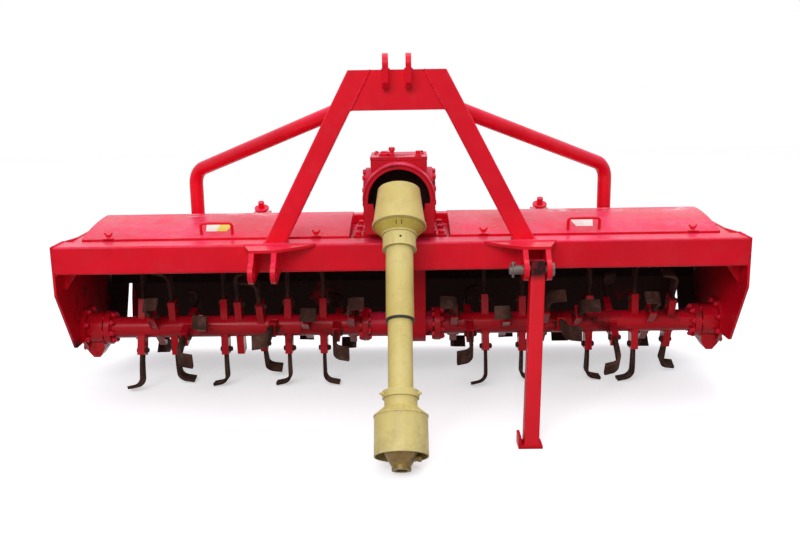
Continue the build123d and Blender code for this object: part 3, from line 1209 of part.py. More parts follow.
def guard_shell(outline, bearing, bore_r):
    """A turned guard tube of even wall, with the ring inside that runs on the shaft."""
    inner = []
    for here, before, after in zip(outline, outline[:1] + outline[:-1], outline[1:] + outline[-1:]):
        step = 0.0
        for other, end in ((before, 1), (after, -1)):
            if other is not here and other[0] == here[0]:
                step = GUARD_T if (here[1] - other[1]) * end > 0 else -GUARD_T
        inner.append((here[0] + step, here[1] - GUARD_T))
    inner[0] = (outline[0][0] - 1.0, inner[0][1])
    inner[-1] = (outline[-1][0] + 1.0, inner[-1][1])
    with BuildPart() as shell:
        for points, mode in ((outline, Mode.ADD), (inner, Mode.SUBTRACT)):
            with BuildSketch(along_shaft):
                with BuildLine():
                    Polyline(
                        (0, points[0][0]), *[(radius, along) for along, radius in points],
                        (0, points[-1][0]), close=True,
                    )
                make_face()
            revolve(axis=shaft_axis, mode=mode)
        with BuildSketch(across_shaft.offset(bearing[0])):
            Circle(bore_r + BEARING_WALL)
            Circle(bore_r, mode=Mode.SUBTRACT)
        extrude(amount=bearing[1] - bearing[0])
    return shell


with BuildPart() as upper_guard:
    add(guard_shell(UPPER_GUARD, UPPER_BEARING, PROFILE_R + SEAT_GAP).part)
    with BuildSketch(across_shaft.offset(UPPER_BEARING[0])):
        Circle(UPPER_COLLAR_R - COLLAR_SKIN)
        Circle(PROFILE_R + SEAT_GAP, mode=Mode.SUBTRACT)
    extrude(amount=UPPER_BEARING[1] - UPPER_BEARING[0])
    with BuildSketch(across_shaft.offset(CONE_SLOT_START)):
        with Locations((0, -CONE_SLOT_DEPTH / 2)):
            Rectangle(2 * (CROSS_REACH + CONE_SLOT_SIDE), CONE_SLOT_DEPTH)
    extrude(amount=CONE_SLOT_END - CONE_SLOT_START, mode=Mode.SUBTRACT)
finish(upper_guard, "upper_guard")

LOWER_JOINT = 712.0
BAR_R = PROFILE_BORE_R - SEAT_GAP
BAR_START = 250.0
LOWER_BASE_T = 14.0
LOWER_BASE_BACK = 62.0    # shaft's base before the lower joint
LOWER_BASE = LOWER_JOINT - LOWER_BASE_BACK
with BuildPart() as lower_guard:
    add(guard_shell(LOWER_GUARD, LOWER_BEARING, BAR_R + SEAT_GAP).part)
    with BuildSketch(across_shaft.offset(LOWER_BEARING[0])):
        Circle(LOWER_COLLAR_R - COLLAR_SKIN)
        Circle(BAR_R + SEAT_GAP, mode=Mode.SUBTRACT)
    extrude(amount=LOWER_BEARING[1] - LOWER_BEARING[0])
finish(lower_guard, "lower_guard")

with BuildPart() as lower_shaft:
    with BuildSketch(across_shaft.offset(BAR_START)):
        Circle(BAR_R)
    extrude(amount=LOWER_BASE - BAR_START)
    with BuildSketch(across_shaft.offset(LOWER_BASE)):
        Circle(SHAFT_BASE_R)
    extrude(amount=LOWER_BASE_T)
    add(shaft_ears(LOWER_JOINT, LOWER_BASE + LOWER_BASE_T / 2).part)
finish(lower_shaft, "lower_shaft")

finish(joint_cross(LOWER_JOINT), "lower_joint_cross")

# tractor-end yoke, its hub on the ground
BORE_R = 17.46
HUB_END_R = 27.0
HUB_BODY_R = 50.0
HUB_RIM_T = 8.0
HUB_NOSE_L = 12.0
HUB_FROM_JOINT = 36.0
HUB_START = LOWER_JOINT + HUB_FROM_JOINT
HUB_END = (JOINT_Z - HUB_END_R * sin(TILT)) / cos(TILT)
with BuildPart() as tractor_yoke:
    with BuildSketch(along_shaft):
        with BuildLine():
            Polyline(
                (0, HUB_START),
                (HUB_BODY_R, HUB_START),
                (HUB_BODY_R, HUB_START + HUB_RIM_T),
                (HUB_END_R, HUB_END - HUB_NOSE_L),
                (HUB_END_R, HUB_END),
                (0, HUB_END),
                close=True,
            )
        make_face()
    revolve(axis=shaft_axis)
    for side in (-1, 1):
        ear_origin = shaft_point(LOWER_JOINT, 0, side * EAR_IN)
        with BuildSketch(Plane(origin=ear_origin, x_dir=shaft_dir, z_dir=(1, 0, 0))):
            Circle(EAR_HALF_W)
            with Locations((HUB_FROM_JOINT / 2, 0)):
                Rectangle(HUB_FROM_JOINT, 2 * EAR_HALF_W)
            Circle(CROSS_PIN_R + PIN_CLEARANCE, mode=Mode.SUBTRACT)
        extrude(amount=side * (CROSS_REACH - EAR_IN))
    with BuildSketch(across_shaft.offset(HUB_START)):
        Circle(BORE_R)
    extrude(amount=HUB_END - HUB_START, mode=Mode.SUBTRACT)
finish(tractor_yoke, "tractor_yoke")

# ---------------------------------------------------------------- support stand
FOOT_T = 8.0
FOOT_X = 70.0
FOOT_Y = 56.0
FOOT_SHIFT = 3.0          # plate's middle inside the leg's
TAB_T = 8.0
TAB_H = 28.0
STAND_CORNER = 4.0
STAND_TRIM = 400.0        # block that cuts the leg's end level with the foot plate
stand_foot_y = LOWER_HOLE_Y - LOWER_HOLE_Z * tan(radians(STAND_LEAN))
stand_down = Vector(-STAND_IN, stand_foot_y - LOWER_HOLE_Y, -LOWER_HOLE_Z)
stand_length = stand_down.length
stand_plane = Plane(
    origin=(HITCH_X, LOWER_HOLE_Y, LOWER_HOLE_Z), x_dir=(LOWER_HOLE_Z, 0, -STAND_IN), z_dir=stand_down
)
with BuildPart() as stand_leg:
    with BuildSketch(stand_plane.offset(-STAND_TOP)):
        RectangleRounded(STAND_SIZE, STAND_SIZE, STAND_CORNER)
        Rectangle(STAND_SIZE - 2 * STAND_WALL, STAND_SIZE - 2 * STAND_WALL, mode=Mode.SUBTRACT)
    extrude(amount=STAND_TOP + stand_length + STAND_SIZE)
    with Locations((HITCH_X - STAND_IN, stand_foot_y, FOOT_T - STAND_TRIM / 2)):
        Box(STAND_TRIM, STAND_TRIM, STAND_TRIM, mode=Mode.SUBTRACT)
    with Locations((HITCH_X, LOWER_HOLE_Y, LOWER_HOLE_Z)):
        Cylinder(HITCH_PIN_R + PIN_CLEARANCE, 3 * STAND_SIZE, rotation=(0, 90, 0), mode=Mode.SUBTRACT)
finish(stand_leg, "stand_leg")

with BuildPart() as stand_foot:
    foot_x = HITCH_X - STAND_IN - FOOT_SHIFT
    with Locations((foot_x, stand_foot_y, FOOT_T / 2)):
        Box(FOOT_X, FOOT_Y, FOOT_T)
    with Locations((foot_x - FOOT_X / 2 + TAB_T / 2, stand_foot_y, FOOT_T + TAB_H / 2)):
        Box(TAB_T, FOOT_Y, TAB_H)
finish(stand_foot, "stand_foot")
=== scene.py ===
import json
import math

import bmesh
import bpy
from mathutils import Matrix, Vector
from mathutils.bvhtree import BVHTree


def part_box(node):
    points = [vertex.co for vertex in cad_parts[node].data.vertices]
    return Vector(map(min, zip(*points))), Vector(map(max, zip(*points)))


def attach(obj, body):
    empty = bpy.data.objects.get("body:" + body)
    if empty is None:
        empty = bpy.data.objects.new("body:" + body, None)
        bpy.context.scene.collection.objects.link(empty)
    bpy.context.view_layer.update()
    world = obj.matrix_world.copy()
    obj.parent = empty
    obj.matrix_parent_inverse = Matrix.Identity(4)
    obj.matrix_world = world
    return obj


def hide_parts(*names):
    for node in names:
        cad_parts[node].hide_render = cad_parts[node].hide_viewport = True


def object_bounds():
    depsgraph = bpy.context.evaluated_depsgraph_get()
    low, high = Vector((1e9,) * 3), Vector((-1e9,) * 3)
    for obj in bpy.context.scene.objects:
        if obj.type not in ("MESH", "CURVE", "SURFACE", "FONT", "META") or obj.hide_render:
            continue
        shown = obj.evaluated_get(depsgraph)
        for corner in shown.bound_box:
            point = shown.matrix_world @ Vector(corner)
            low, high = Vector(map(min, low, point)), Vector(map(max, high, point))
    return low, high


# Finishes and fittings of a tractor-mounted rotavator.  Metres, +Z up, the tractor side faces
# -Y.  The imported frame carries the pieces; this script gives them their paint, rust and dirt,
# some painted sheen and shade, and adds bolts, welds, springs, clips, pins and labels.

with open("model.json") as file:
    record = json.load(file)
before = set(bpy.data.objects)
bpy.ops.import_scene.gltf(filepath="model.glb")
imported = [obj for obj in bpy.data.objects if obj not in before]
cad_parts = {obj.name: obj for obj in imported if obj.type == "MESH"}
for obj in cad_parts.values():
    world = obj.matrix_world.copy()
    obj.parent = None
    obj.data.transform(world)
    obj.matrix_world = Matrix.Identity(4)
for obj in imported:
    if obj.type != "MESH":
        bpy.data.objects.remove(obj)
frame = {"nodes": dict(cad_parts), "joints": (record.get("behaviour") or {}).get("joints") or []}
cad_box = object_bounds()
NODES = frame["nodes"]
JOINTS = {joint["name"]: joint for joint in frame["joints"]}


def middle(node):
    """Centre of a CAD node's box."""
    low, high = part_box(node)
    return (low + high) / 2


# ---------------------------------------------------------------- places taken from the frame
X, Z = Vector((1, 0, 0)), Vector((0, 0, 1))
LEFT, RIGHT = -1, 1
SIDES = (("left", LEFT), ("right", RIGHT))
ROTOR_AXIS = middle("rotor_centre_shaft")
BEAM_LOW, BEAM_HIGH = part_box("front_beam")
SHAFT_TOP = Vector(JOINTS["shaft_swing"]["pos_m"])
SHAFT_DOWN = Vector(JOINTS["shaft_telescope"]["axis"]).normalized()
SHAFT_OUT = SHAFT_DOWN.cross(X).normalized()
if SHAFT_OUT.z < 0:
    SHAFT_OUT.negate()


# ---------------------------------------------------------------- node trees
class Nodes:
    """A node tree that is filled by name."""

    def __init__(self, tree):
        self.tree = tree
        tree.nodes.clear()

    def add(self, kind, links=None, **settings):
        """A node with its settings, and its inputs linked or written."""
        node = self.tree.nodes.new(kind)
        for key, value in settings.items():
            setattr(node, key, value)
        for socket, source in (links or {}).items():
            self.plug(source, node.inputs[socket])
        return node

    def plug(self, source, target):
        if isinstance(source, bpy.types.NodeSocket):
            self.tree.links.new(source, target)
        elif isinstance(source, tuple) and len(source) == 3 and target.type == "RGBA":
            target.default_value = (*source, 1.0)
        else:
            target.default_value = source


# ---------------------------------------------------------------- finishes
class Finish(Nodes):
    """A material built from named textures on the piece's own coordinates."""

    def __init__(self, name):
        self.material = bpy.data.materials.new(name)
        self.material.use_nodes = True
        super().__init__(self.material.node_tree)
        place = self.add("ShaderNodeTexCoord")
        self.place = place.outputs["Object"]
        self.facing = place.outputs["Normal"]
        self.shader = self.add("ShaderNodeBsdfPrincipled")
        self.add("ShaderNodeOutputMaterial", {"Surface": self.shader.outputs[0]})

    def noise(self, scale, detail=4.0, rough=0.55, stretch=None):
        """Cloudy noise, 0 to 1, with blots about 1 / scale metres across."""
        place = self.place
        if stretch:
            place = self.add("ShaderNodeMapping", {"Vector": place, "Scale": stretch}).outputs[0]
        links = {"Vector": place, "Scale": scale, "Detail": detail, "Roughness": rough}
        return self.add("ShaderNodeTexNoise", links).outputs["Fac"]

    def ramp(self, value, start, end, low=0.0, high=1.0):
        """Value from low to high as it goes from start to end."""
        links = {"Value": value, "From Min": start, "From Max": end, "To Min": low, "To Max": high}
        return self.add("ShaderNodeMapRange", links).outputs[0]

    def cloud(self, scale, detail, rough, start, end, low=0.0, high=1.0, stretch=None):
        """Noise ramped from low to high between two of its levels."""
        return self.ramp(self.noise(scale, detail, rough, stretch), start, end, low, high)

    def math(self, operation, first, second=0.0):
        node = self.add("ShaderNodeMath", {0: first, 1: second}, operation=operation, use_clamp=True)
        return node.outputs[0]

    def product(self, first, *others):
        """Masks multiplied together."""
        for other in others:
            first = self.math("MULTIPLY", first, other)
        return first

    def vector_math(self, operation, first, second=None):
        """A vector, or the number that a dot product or a length gives."""
        links = {0: first} if second is None else {0: first, 1: second}
        node = self.add("ShaderNodeVectorMath", links, operation=operation)
        return node.outputs["Value" if operation in ("DOT_PRODUCT", "LENGTH") else "Vector"]

    def blend(self, amount, first, second):
        """A colour from first to second."""
        return self.add("ShaderNodeMix", {0: amount, 6: first, 7: second}, data_type="RGBA").outputs[2]

    def between(self, amount, first, second):
        """A number from first to second."""
        return self.add("ShaderNodeMix", {0: amount, 2: first, 3: second}).outputs[0]

    def faces(self, direction):
        """1 where the surface faces along direction, 0 where it is square to it or faces away."""
        return self.math("MAXIMUM", self.vector_math("DOT_PRODUCT", self.facing, direction), 0.0)

    def along(self, direction, start, end):
        """0 to 1 along a direction of the piece, between two distances from the origin."""
        distance = self.vector_math("DOT_PRODUCT", self.place, direction)
        shifted = self.add("ShaderNodeMath", {0: distance, 1: start}, operation="SUBTRACT")
        return self.math("DIVIDE", shifted.outputs[0], end - start)

    def reach(self, centre, plane):
        """Distance from a centre, measured only along the axes that plane keeps."""
        away = self.vector_math("SUBTRACT", self.place, tuple(centre))
        return self.vector_math("LENGTH", self.vector_math("MULTIPLY", away, plane))

    def edges(self, radius, noise_scale=60.0):
        """1 along the piece's sharp edges, broken up as knocks and rubbing break paint."""
        bevel = self.add("ShaderNodeBevel", {"Radius": radius}, samples=6).outputs[0]
        true = self.add("ShaderNodeNewGeometry").outputs["Normal"]
        edge = self.ramp(self.vector_math("DOT_PRODUCT", bevel, true), 0.985, 0.86)
        return self.product(edge, self.cloud(noise_scale, 6.0, 0.7, 0.46, 0.60))

    def relief(self, height, depth, soften=0.0):
        """Bump of a height texture, over edges that are rounded by soften."""
        links = {"Height": height, "Distance": depth, "Strength": 1.0}
        if soften:
            links["Normal"] = self.add("ShaderNodeBevel", {"Radius": soften}, samples=4).outputs[0]
        self.plug(self.add("ShaderNodeBump", links).outputs[0], self.shader.inputs["Normal"])

    def set(self, **values):
        for key, value in values.items():
            self.plug(value, self.shader.inputs[key.replace("_", " ")])
        return self.material


RED = (0.90, 0.004, 0.021)
CASTING_RED = (0.68, 0.003, 0.016)
# painted shade: a darker red for the stand, which leans up into more light
STAND_SHADED_RED = (0.72, 0.003, 0.012)
SHADED_RED = (0.58, 0.002, 0.010)
# painted highlight: pale pink sky sheen laid on faces that look up
SKY_SHEEN_RED = (0.90, 0.032, 0.140)
RUBBED_PINK = (0.86, 0.50, 0.52)
RUST = (0.085, 0.030, 0.015)
OLD_RUST = (0.030, 0.012, 0.010)
# near-black of grease and rust, also laid as painted shade
GREASE_AND_SHADE = (0.008, 0.004, 0.004)
SOIL = (0.014, 0.005, 0.0045)
DRY_SOIL = (0.042, 0.016, 0.012)
DUST = (0.48, 0.26, 0.24)
PAINT_IOR = 1.27          # low, because the enamel is old and dull
CREST_Y = 0.300           # line along which the top covers are highest


def enamel_tone(paint, base, dust, sheen, scuffs):
    """Uneven enamel, with dust and a painted pink sky sheen on what faces up."""
    deep = tuple(channel * 0.74 for channel in base)
    tone = paint.blend(paint.cloud(2.2, 5.0, 0.55, 0.35, 0.68), deep, base)
    tone = paint.blend(paint.cloud(9.0, 6.0, 0.65, 0.30, 0.70, 0.30, 0.0), tone, deep)
    upward = paint.faces((0, 0, 1))
    # painted highlight: pink sky sheen on up-facing faces, weighted per paint
    sky_sheen = paint.cloud(5.0, 6.0, 0.55, 0.38, 0.62, 0.25 * sheen, 0.75 * sheen)
    tone = paint.blend(paint.product(upward, sky_sheen), tone, SKY_SHEEN_RED)
    settled = paint.product(paint.cloud(26.0, 8.0, 0.7, 0.42, 0.72), upward)
    tone = paint.blend(paint.product(settled, dust * 2.2), tone, DUST)
    if scuffs:
        tone = paint.blend(crest_scuffs(paint), tone, RUBBED_PINK)
    tone = paint.blend(paint.cloud(14.0, 8.0, 0.72, 0.50, 0.78, 0.0, dust * 0.6), tone, DUST)
    streak = paint.cloud(34.0, 5.0, 0.6, 0.56, 0.74, 0.0, 0.28, stretch=(1, 1, 0.10))
    return paint.blend(streak, tone, deep)


def red_paint(name, soil=0.0, soil_and_shade_facing=None, chips=0.6, dust=0.10, ripple=0.0004, gloss=0.30,
              dark=None, base=RED, sheen=1.0, scuffs=False):
    """Sprayed red enamel: dust and a painted sky sheen on top, dried soil inside (on faces turned into the
    rotor chamber also painted shade), chips and rust at the edges, and the near-black that dark gives: grease
    and rust on some pieces, painted shade on others.
    """
    paint = Finish(name)
    tone = enamel_tone(paint, base, dust, sheen, scuffs)
    rough = paint.cloud(6.0, 6.0, 0.55, 0.3, 0.7, gloss - 0.07, gloss + 0.13)
    if soil:
        cover = paint.cloud(7.0, 8.0, 0.62, 0.62 - soil * 0.45, 0.72 - soil * 0.30)
        # where a facing is given, the soil covers the faces turned into the rotor chamber and is painted
        # shade there as well
        if soil_and_shade_facing:
            cover = paint.product(cover, paint.ramp(paint.faces(soil_and_shade_facing), 0.05, 0.45))
        tone = paint.blend(cover, tone, paint.blend(paint.noise(70.0, 6.0, 0.7), SOIL, DRY_SOIL))
        rough = paint.between(cover, rough, 0.88)
    # dark blends towards that near-black: grease and rust on some pieces, painted shade on the end plates and
    # in the shield's mouth
    if dark:
        shade = dark(paint)
        tone = paint.blend(shade, tone, GREASE_AND_SHADE)
        rough = paint.between(shade, rough, 0.80)
    specks = paint.cloud(95.0, 3.0, 0.5, 0.735, 0.77, 0.0, chips)
    worn = paint.math("MAXIMUM", paint.product(paint.edges(0.0035), chips), specks)
    tone = paint.blend(worn, tone, paint.blend(paint.noise(150.0, 4.0), RUST, OLD_RUST))
    peel = paint.math("ADD", paint.product(paint.noise(260.0, 2.0), 0.10), paint.noise(4.5, 3.0, 0.4))
    paint.relief(peel, ripple * 4, soften=0.0022)
    return paint.set(Base_Color=tone, Roughness=paint.between(worn, rough, 0.75), IOR=PAINT_IOR)


def crest_scuffs(paint):
    """Pale rubbed patches in a row along the crest of the covers."""
    front = paint.along((0.0, 1.0, 0.0), CREST_Y - 0.075, CREST_Y - 0.045)
    back = paint.along((0.0, -1.0, 0.0), -CREST_Y - 0.010, -CREST_Y + 0.012)
    left = paint.product(
        paint.along((-1.0, 0.0, 0.0), 0.40, 0.42), paint.along((1.0, 0.0, 0.0), -0.75, -0.73)
    )
    outer = paint.math("MAXIMUM", left, paint.along((1.0, 0.0, 0.0), 0.50, 0.52))
    marks = paint.cloud(13.0, 6.0, 0.66, 0.50, 0.57, 0.0, 0.80, stretch=(1.0, 2.2, 1.0))
    return paint.product(front, back, outer, marks)


def tine_steel():
    """Forged blade steel: brown rust near the root, earth-polished and scuffed towards the tip."""
    steel = Finish("rusted_blade_steel")
    brown = steel.blend(steel.noise(38.0, 8.0, 0.7), (0.014, 0.0060, 0.0050), (0.070, 0.028, 0.019))
    brown = steel.blend(steel.cloud(9.0, 5.0, 0.55, 0.5, 0.75), brown, (0.125, 0.052, 0.035))
    bright = steel.blend(steel.noise(120.0, 3.0, 0.6), (0.10, 0.050, 0.036), (0.27, 0.155, 0.115))
    near_tip = steel.ramp(steel.reach(ROTOR_AXIS, (0.0, 1.0, 1.0)), 0.11, 0.21)
    rubbed = steel.product(near_tip, steel.cloud(17.0, 7.0, 0.75, 0.47, 0.66), 0.42)
    bare = steel.math("MAXIMUM", rubbed, steel.product(steel.edges(0.003, 40.0), 0.8))
    steel.relief(steel.noise(120.0, 8.0, 0.75), 0.0012, soften=0.0015)
    return steel.set(
        Base_Color=steel.blend(bare, brown, bright), Roughness=steel.ramp(bare, 0.0, 1.0, 0.82, 0.45),
        Metallic=steel.product(bare, 0.35), IOR=1.2,
    )


def guard_plastic():
    """Sun-faded yellow guard plastic with finger grime, scuffs and soil splashed at its lower end."""
    plastic = Finish("faded_yellow_plastic")
    tone = plastic.blend(plastic.cloud(6.0, 5.0, 0.55, 0.3, 0.7), (0.60, 0.475, 0.125), (0.70, 0.60, 0.225))
    streak = plastic.cloud(20.0, 7.0, 0.65, 0.48, 0.75, 0.0, 0.42, stretch=(1, 1, 0.12))
    tone = plastic.blend(streak, tone, (0.42, 0.30, 0.075))
    tone = plastic.blend(plastic.cloud(30.0, 8.0, 0.75, 0.55, 0.80, 0.0, 0.55), tone, (0.30, 0.21, 0.075))
    low_end = plastic.along((0, 0, -1), -0.20, 0.0)
    splash = plastic.product(low_end, plastic.cloud(24.0, 8.0, 0.7, 0.42, 0.66), 0.65)
    tone = plastic.blend(splash, tone, (0.20, 0.115, 0.050))
    from_joint = plastic.vector_math("SUBTRACT", plastic.place, tuple(SHAFT_TOP))
    down = plastic.vector_math("DOT_PRODUCT", from_joint, tuple(SHAFT_DOWN))
    second_cone = plastic.product(plastic.ramp(down, 0.0745, 0.0760), plastic.ramp(down, 0.1015, 0.0995))
    blotch = plastic.cloud(45.0, 6.0, 0.7, 0.35, 0.62, 0.70, 1.0)
    tone = plastic.blend(plastic.product(second_cone, blotch), tone, (0.46, 0.335, 0.030))
    # painted shadow: a dark ring just below the first cone's lip
    step = plastic.product(plastic.ramp(down, 0.0745, 0.0750), plastic.ramp(down, 0.0785, 0.0760), 0.75)
    tone = plastic.blend(step, tone, (0.16, 0.11, 0.030))
    tone = plastic.blend(plastic.product(plastic.edges(0.003, 30.0), 0.45), tone, (0.80, 0.74, 0.45))
    plastic.relief(plastic.noise(180.0, 5.0, 0.6), 0.0005, soften=0.0022)
    rough = plastic.cloud(12.0, 5.0, 0.55, 0.3, 0.7, 0.36, 0.58)
    return plastic.set(Base_Color=tone, Roughness=rough, Subsurface_Weight=0.04, Subsurface_Scale=0.01)


def worn_steel(name, dark, light, rust, metal, rough):
    """Machined or forged steel with grease, scratches and patches of rust."""
    steel = Finish(name)
    tone = steel.blend(steel.noise(28.0, 7.0, 0.7), dark, light)
    brushed = steel.cloud(90.0, 3.0, 0.5, 0.35, 0.65, 0.0, 0.35, stretch=(0.08, 1, 1))
    tone = steel.blend(brushed, tone, light)
    stain = steel.cloud(16.0, 8.0, 0.72, 0.50, 0.66)
    tone = steel.blend(steel.product(stain, 0.8), tone, rust)
    glint = tuple(min(1.0, channel * 1.8) for channel in light)
    tone = steel.blend(steel.product(steel.edges(0.002, 50.0), 0.6), tone, glint)
    steel.relief(steel.noise(140.0, 6.0, 0.7), 0.0007, soften=0.0012)
    return steel.set(
        Base_Color=tone,
        Roughness=steel.ramp(stain, 0.0, 1.0, rough, 0.8),
        Metallic=steel.ramp(stain, 0.0, 1.0, metal, 0.1),
    )


def label_film(name, first, second, start_x, end_x):
    """Blank two-tone label, split across x and scuffed so that a little paint shows through."""
    film = Finish(name)
    side = film.ramp(film.along((1, 0, 0), start_x, end_x), 0.48, 0.52)
    tone = film.blend(side, first, second)
    tone = film.blend(film.cloud(60.0, 8.0, 0.75, 0.60, 0.72, 0.0, 0.7), tone, (0.62, 0.16, 0.14))
    film.relief(film.noise(90.0, 4.0), 0.0002)
    return film.set(Base_Color=tone, Roughness=film.cloud(30.0, 4.0, 0.55, 0.3, 0.7, 0.30, 0.50))


def rubber(name, tone, light, ior=1.45):
    """Dull dark rubber or hard plastic with dust in it."""
    skin = Finish(name)
    dusty = skin.blend(skin.cloud(50.0, 7.0, 0.7, 0.45, 0.75), tone, light)
    skin.relief(skin.noise(220.0, 4.0), 0.0003)
    return skin.set(Base_Color=dusty, Roughness=skin.cloud(20.0, 4.0, 0.55, 0.3, 0.7, 0.55, 0.80), IOR=ior)


SHIELD_BORE_R = 0.107     # reach of the grease and painted shade inside the shaft shield


def shield_mouth_grease_and_shade(paint):
    """Black grease and painted shade round the inside of the shield and on the casting behind it."""
    low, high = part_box("shaft_shield")
    centre = (0.0, low.y, high.z - high.x)
    ragged = paint.product(paint.noise(30.0, 5.0), 0.010)
    reach = paint.math("ADD", paint.reach(centre, (1.0, 0.0, 1.0)), ragged)
    inside = paint.ramp(reach, SHIELD_BORE_R, SHIELD_BORE_R - 0.007)
    deep = paint.along((0.0, 1.0, 0.0), low.y + 0.0015, low.y + 0.0055)
    above = paint.along((0.0, 0.0, 1.0), centre[2] - 0.075, centre[2] - 0.030)
    before = paint.along((0.0, -1.0, 0.0), -high.y - 0.020, -high.y - 0.004)
    return paint.product(inside, deep, above, before, 0.97)


def plate_rear_shade(paint, inward):
    """Painted shade darkening the rear half of an end plate's inner face."""
    inner = abs(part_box("left_end_plate")[0].x) - 0.008
    inside = paint.along((inward, 0.0, 0.0), -inner - 0.006, -inner - 0.001)
    back = paint.along((0.0, 1.0, 0.0), BEAM_HIGH.y + 0.10, BEAM_HIGH.y + 0.42)
    below = paint.along((0.0, 0.0, -1.0), -BEAM_LOW.z - 0.01, -BEAM_LOW.z + 0.02)
    return paint.product(back, paint.cloud(12.0, 7.0, 0.65, 0.30, 0.60, 0.62, 1.0), inside, below)


def left_plate_rear_shade(paint):
    return plate_rear_shade(paint, 1.0)


def right_plate_rear_shade(paint):
    return plate_rear_shade(paint, -1.0)


def stand_top_rust(paint):
    """The stand's head, rubbed bare and brown by its pin."""
    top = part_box("stand_leg")[1].z
    head = paint.along((0.0, 0.0, 1.0), top - 0.062, top - 0.040)
    return paint.product(head, paint.cloud(26.0, 7.0, 0.7, 0.30, 0.52, 0.60, 0.98))


PAINT = red_paint("red_enamel")
COVER_PAINT = red_paint("red_enamel_on_sheet", chips=0.45, dust=0.16, ripple=0.0010, gloss=0.27, scuffs=True)
# soil and painted shade: near-black soil on the deck and board faces turned into the rotor chamber
DECK_PAINT = red_paint("red_enamel_soil_below", soil=0.98, soil_and_shade_facing=(0, -0.55, -0.84), dust=0.14)
BOARD_PAINT = red_paint("red_enamel_soil_in_front", soil=1.08, soil_and_shade_facing=(0, -1, 0.3), chips=0.7, dust=0.14)
# painted shade on the end plates' inner faces, darker towards the back
LEFT_PLATE_PAINT = red_paint(
    "red_enamel_left_plate", soil=0.12, chips=0.7, dust=0.04, dark=left_plate_rear_shade
)
RIGHT_PLATE_PAINT = red_paint(
    "red_enamel_right_plate", soil=0.12, chips=0.7, dust=0.04, dark=right_plate_rear_shade
)
# soil and painted shade on the faces of the tongues and cheeks turned into the chamber
TONGUE_PAINT = red_paint("red_enamel_soiled_corner", soil=0.95, soil_and_shade_facing=(0, -1, 0.3), dust=0.05)
# the rotor and the stand take only a tenth of the painted sky sheen
ROTOR_PAINT = red_paint("red_enamel_rotor", soil=0.12, dust=0.02, gloss=0.24, base=SHADED_RED, sheen=0.1)
CASE_PAINT = red_paint(
    "red_enamel_casting", soil=0.16, chips=0.55, dust=0.05, ripple=0.0012, gloss=0.34,
    dark=shield_mouth_grease_and_shade, base=CASTING_RED,
)
STAND_PAINT = red_paint(
    "red_enamel_stand", chips=0.7, dust=0.01, gloss=0.42, dark=stand_top_rust, base=STAND_SHADED_RED, sheen=0.1
)
LUG_PAINT = red_paint("red_enamel_rubbed", chips=1.0, dust=0.08, sheen=0.5)
FITTING_PAINT = red_paint("red_enamel_fittings", chips=0.22, dust=0.08, gloss=0.32)
TINE = tine_steel()
GUARD = guard_plastic()
# name, dark tone, light tone, rust, metallic share, roughness
SOILED_STEEL, YOKE, BARE_STEEL, ZINC, SPRING = (worn_steel(*look) for look in (
    ("soiled_steel", (0.018, 0.010, 0.008), (0.060, 0.034, 0.026), (0.050, 0.020, 0.012), 0.25, 0.70),
    ("yellow_passivated_yoke", (0.070, 0.042, 0.012), (0.30, 0.19, 0.050), (0.040, 0.020, 0.010), 0.5, 0.42),
    ("oily_bare_steel", (0.10, 0.092, 0.085), (0.30, 0.28, 0.26), (0.095, 0.045, 0.026), 0.8, 0.38),
    ("dull_zinc", (0.075, 0.062, 0.055), (0.22, 0.19, 0.17), (0.10, 0.040, 0.026), 0.6, 0.45),
    ("dark_spring_steel", (0.030, 0.028, 0.028), (0.085, 0.078, 0.072), (0.090, 0.036, 0.020), 0.6, 0.45),
))
BLACK = rubber("black_rubber", (0.012, 0.012, 0.012), (0.055, 0.048, 0.042))
# near-black rubber for the hinge strip, painted shade under the beam
SHADE_DARK_RUBBER = rubber("soiled_rubber", (0.016, 0.006, 0.005), (0.034, 0.014, 0.010), 1.15)

FINISHES = {
    COVER_PAINT: ("left_cover", "right_cover", "left_cover_handle", "right_cover_handle"),
    DECK_PAINT: ("rotor_deck",),
    BOARD_PAINT: ("trailing_board",),
    LEFT_PLATE_PAINT: ("left_end_plate",),
    RIGHT_PLATE_PAINT: ("right_end_plate",),
    ROTOR_PAINT: (
        "left_rotor_shaft", "right_rotor_shaft", "left_bearing_housing", "right_bearing_housing",
    ),
    CASE_PAINT: (
        "gear_case", "gearbox_base", "gearbox_housing", "gearbox_lid", "left_gearbox_cover",
        "right_gearbox_cover", "shaft_shield",
    ),
    STAND_PAINT: ("stand_leg", "stand_foot"),
    LUG_PAINT: ("left_hitch_bracket", "right_hitch_bracket", "left_top_link_lug", "right_top_link_lug"),
    TINE: ("left_tines", "right_tines"),
    SOILED_STEEL: ("board_hinge_rod",),
    GUARD: ("upper_guard", "lower_guard"),
    YOKE: ("tractor_yoke", "lower_joint_cross"),
    BARE_STEEL: (
        "input_shaft", "input_yoke", "upper_joint_cross", "upper_shaft", "lower_shaft",
        "rotor_centre_shaft",
    ),
    ZINC: ("right_hitch_pin",),
    SPRING: ("left_lift_spring", "right_lift_spring"),
}


def dress_frame():
    """Gives every carried-over node its finish; what isn't listed is painted."""
    finish_of = {node: finish for finish, nodes in FINISHES.items() for node in nodes}
    for name, carried in NODES.items():
        carried.data.materials.clear()
        carried.data.materials.append(finish_of.get(name, PAINT))


dress_frame()


# ---------------------------------------------------------------- making pieces
def add_object(name, mesh):
    piece = bpy.data.objects.new(name, mesh)
    bpy.context.scene.collection.objects.link(piece)
    return piece


def settle(piece, body):
    """Hands a finished piece to its body."""
    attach(piece, body)
    return piece


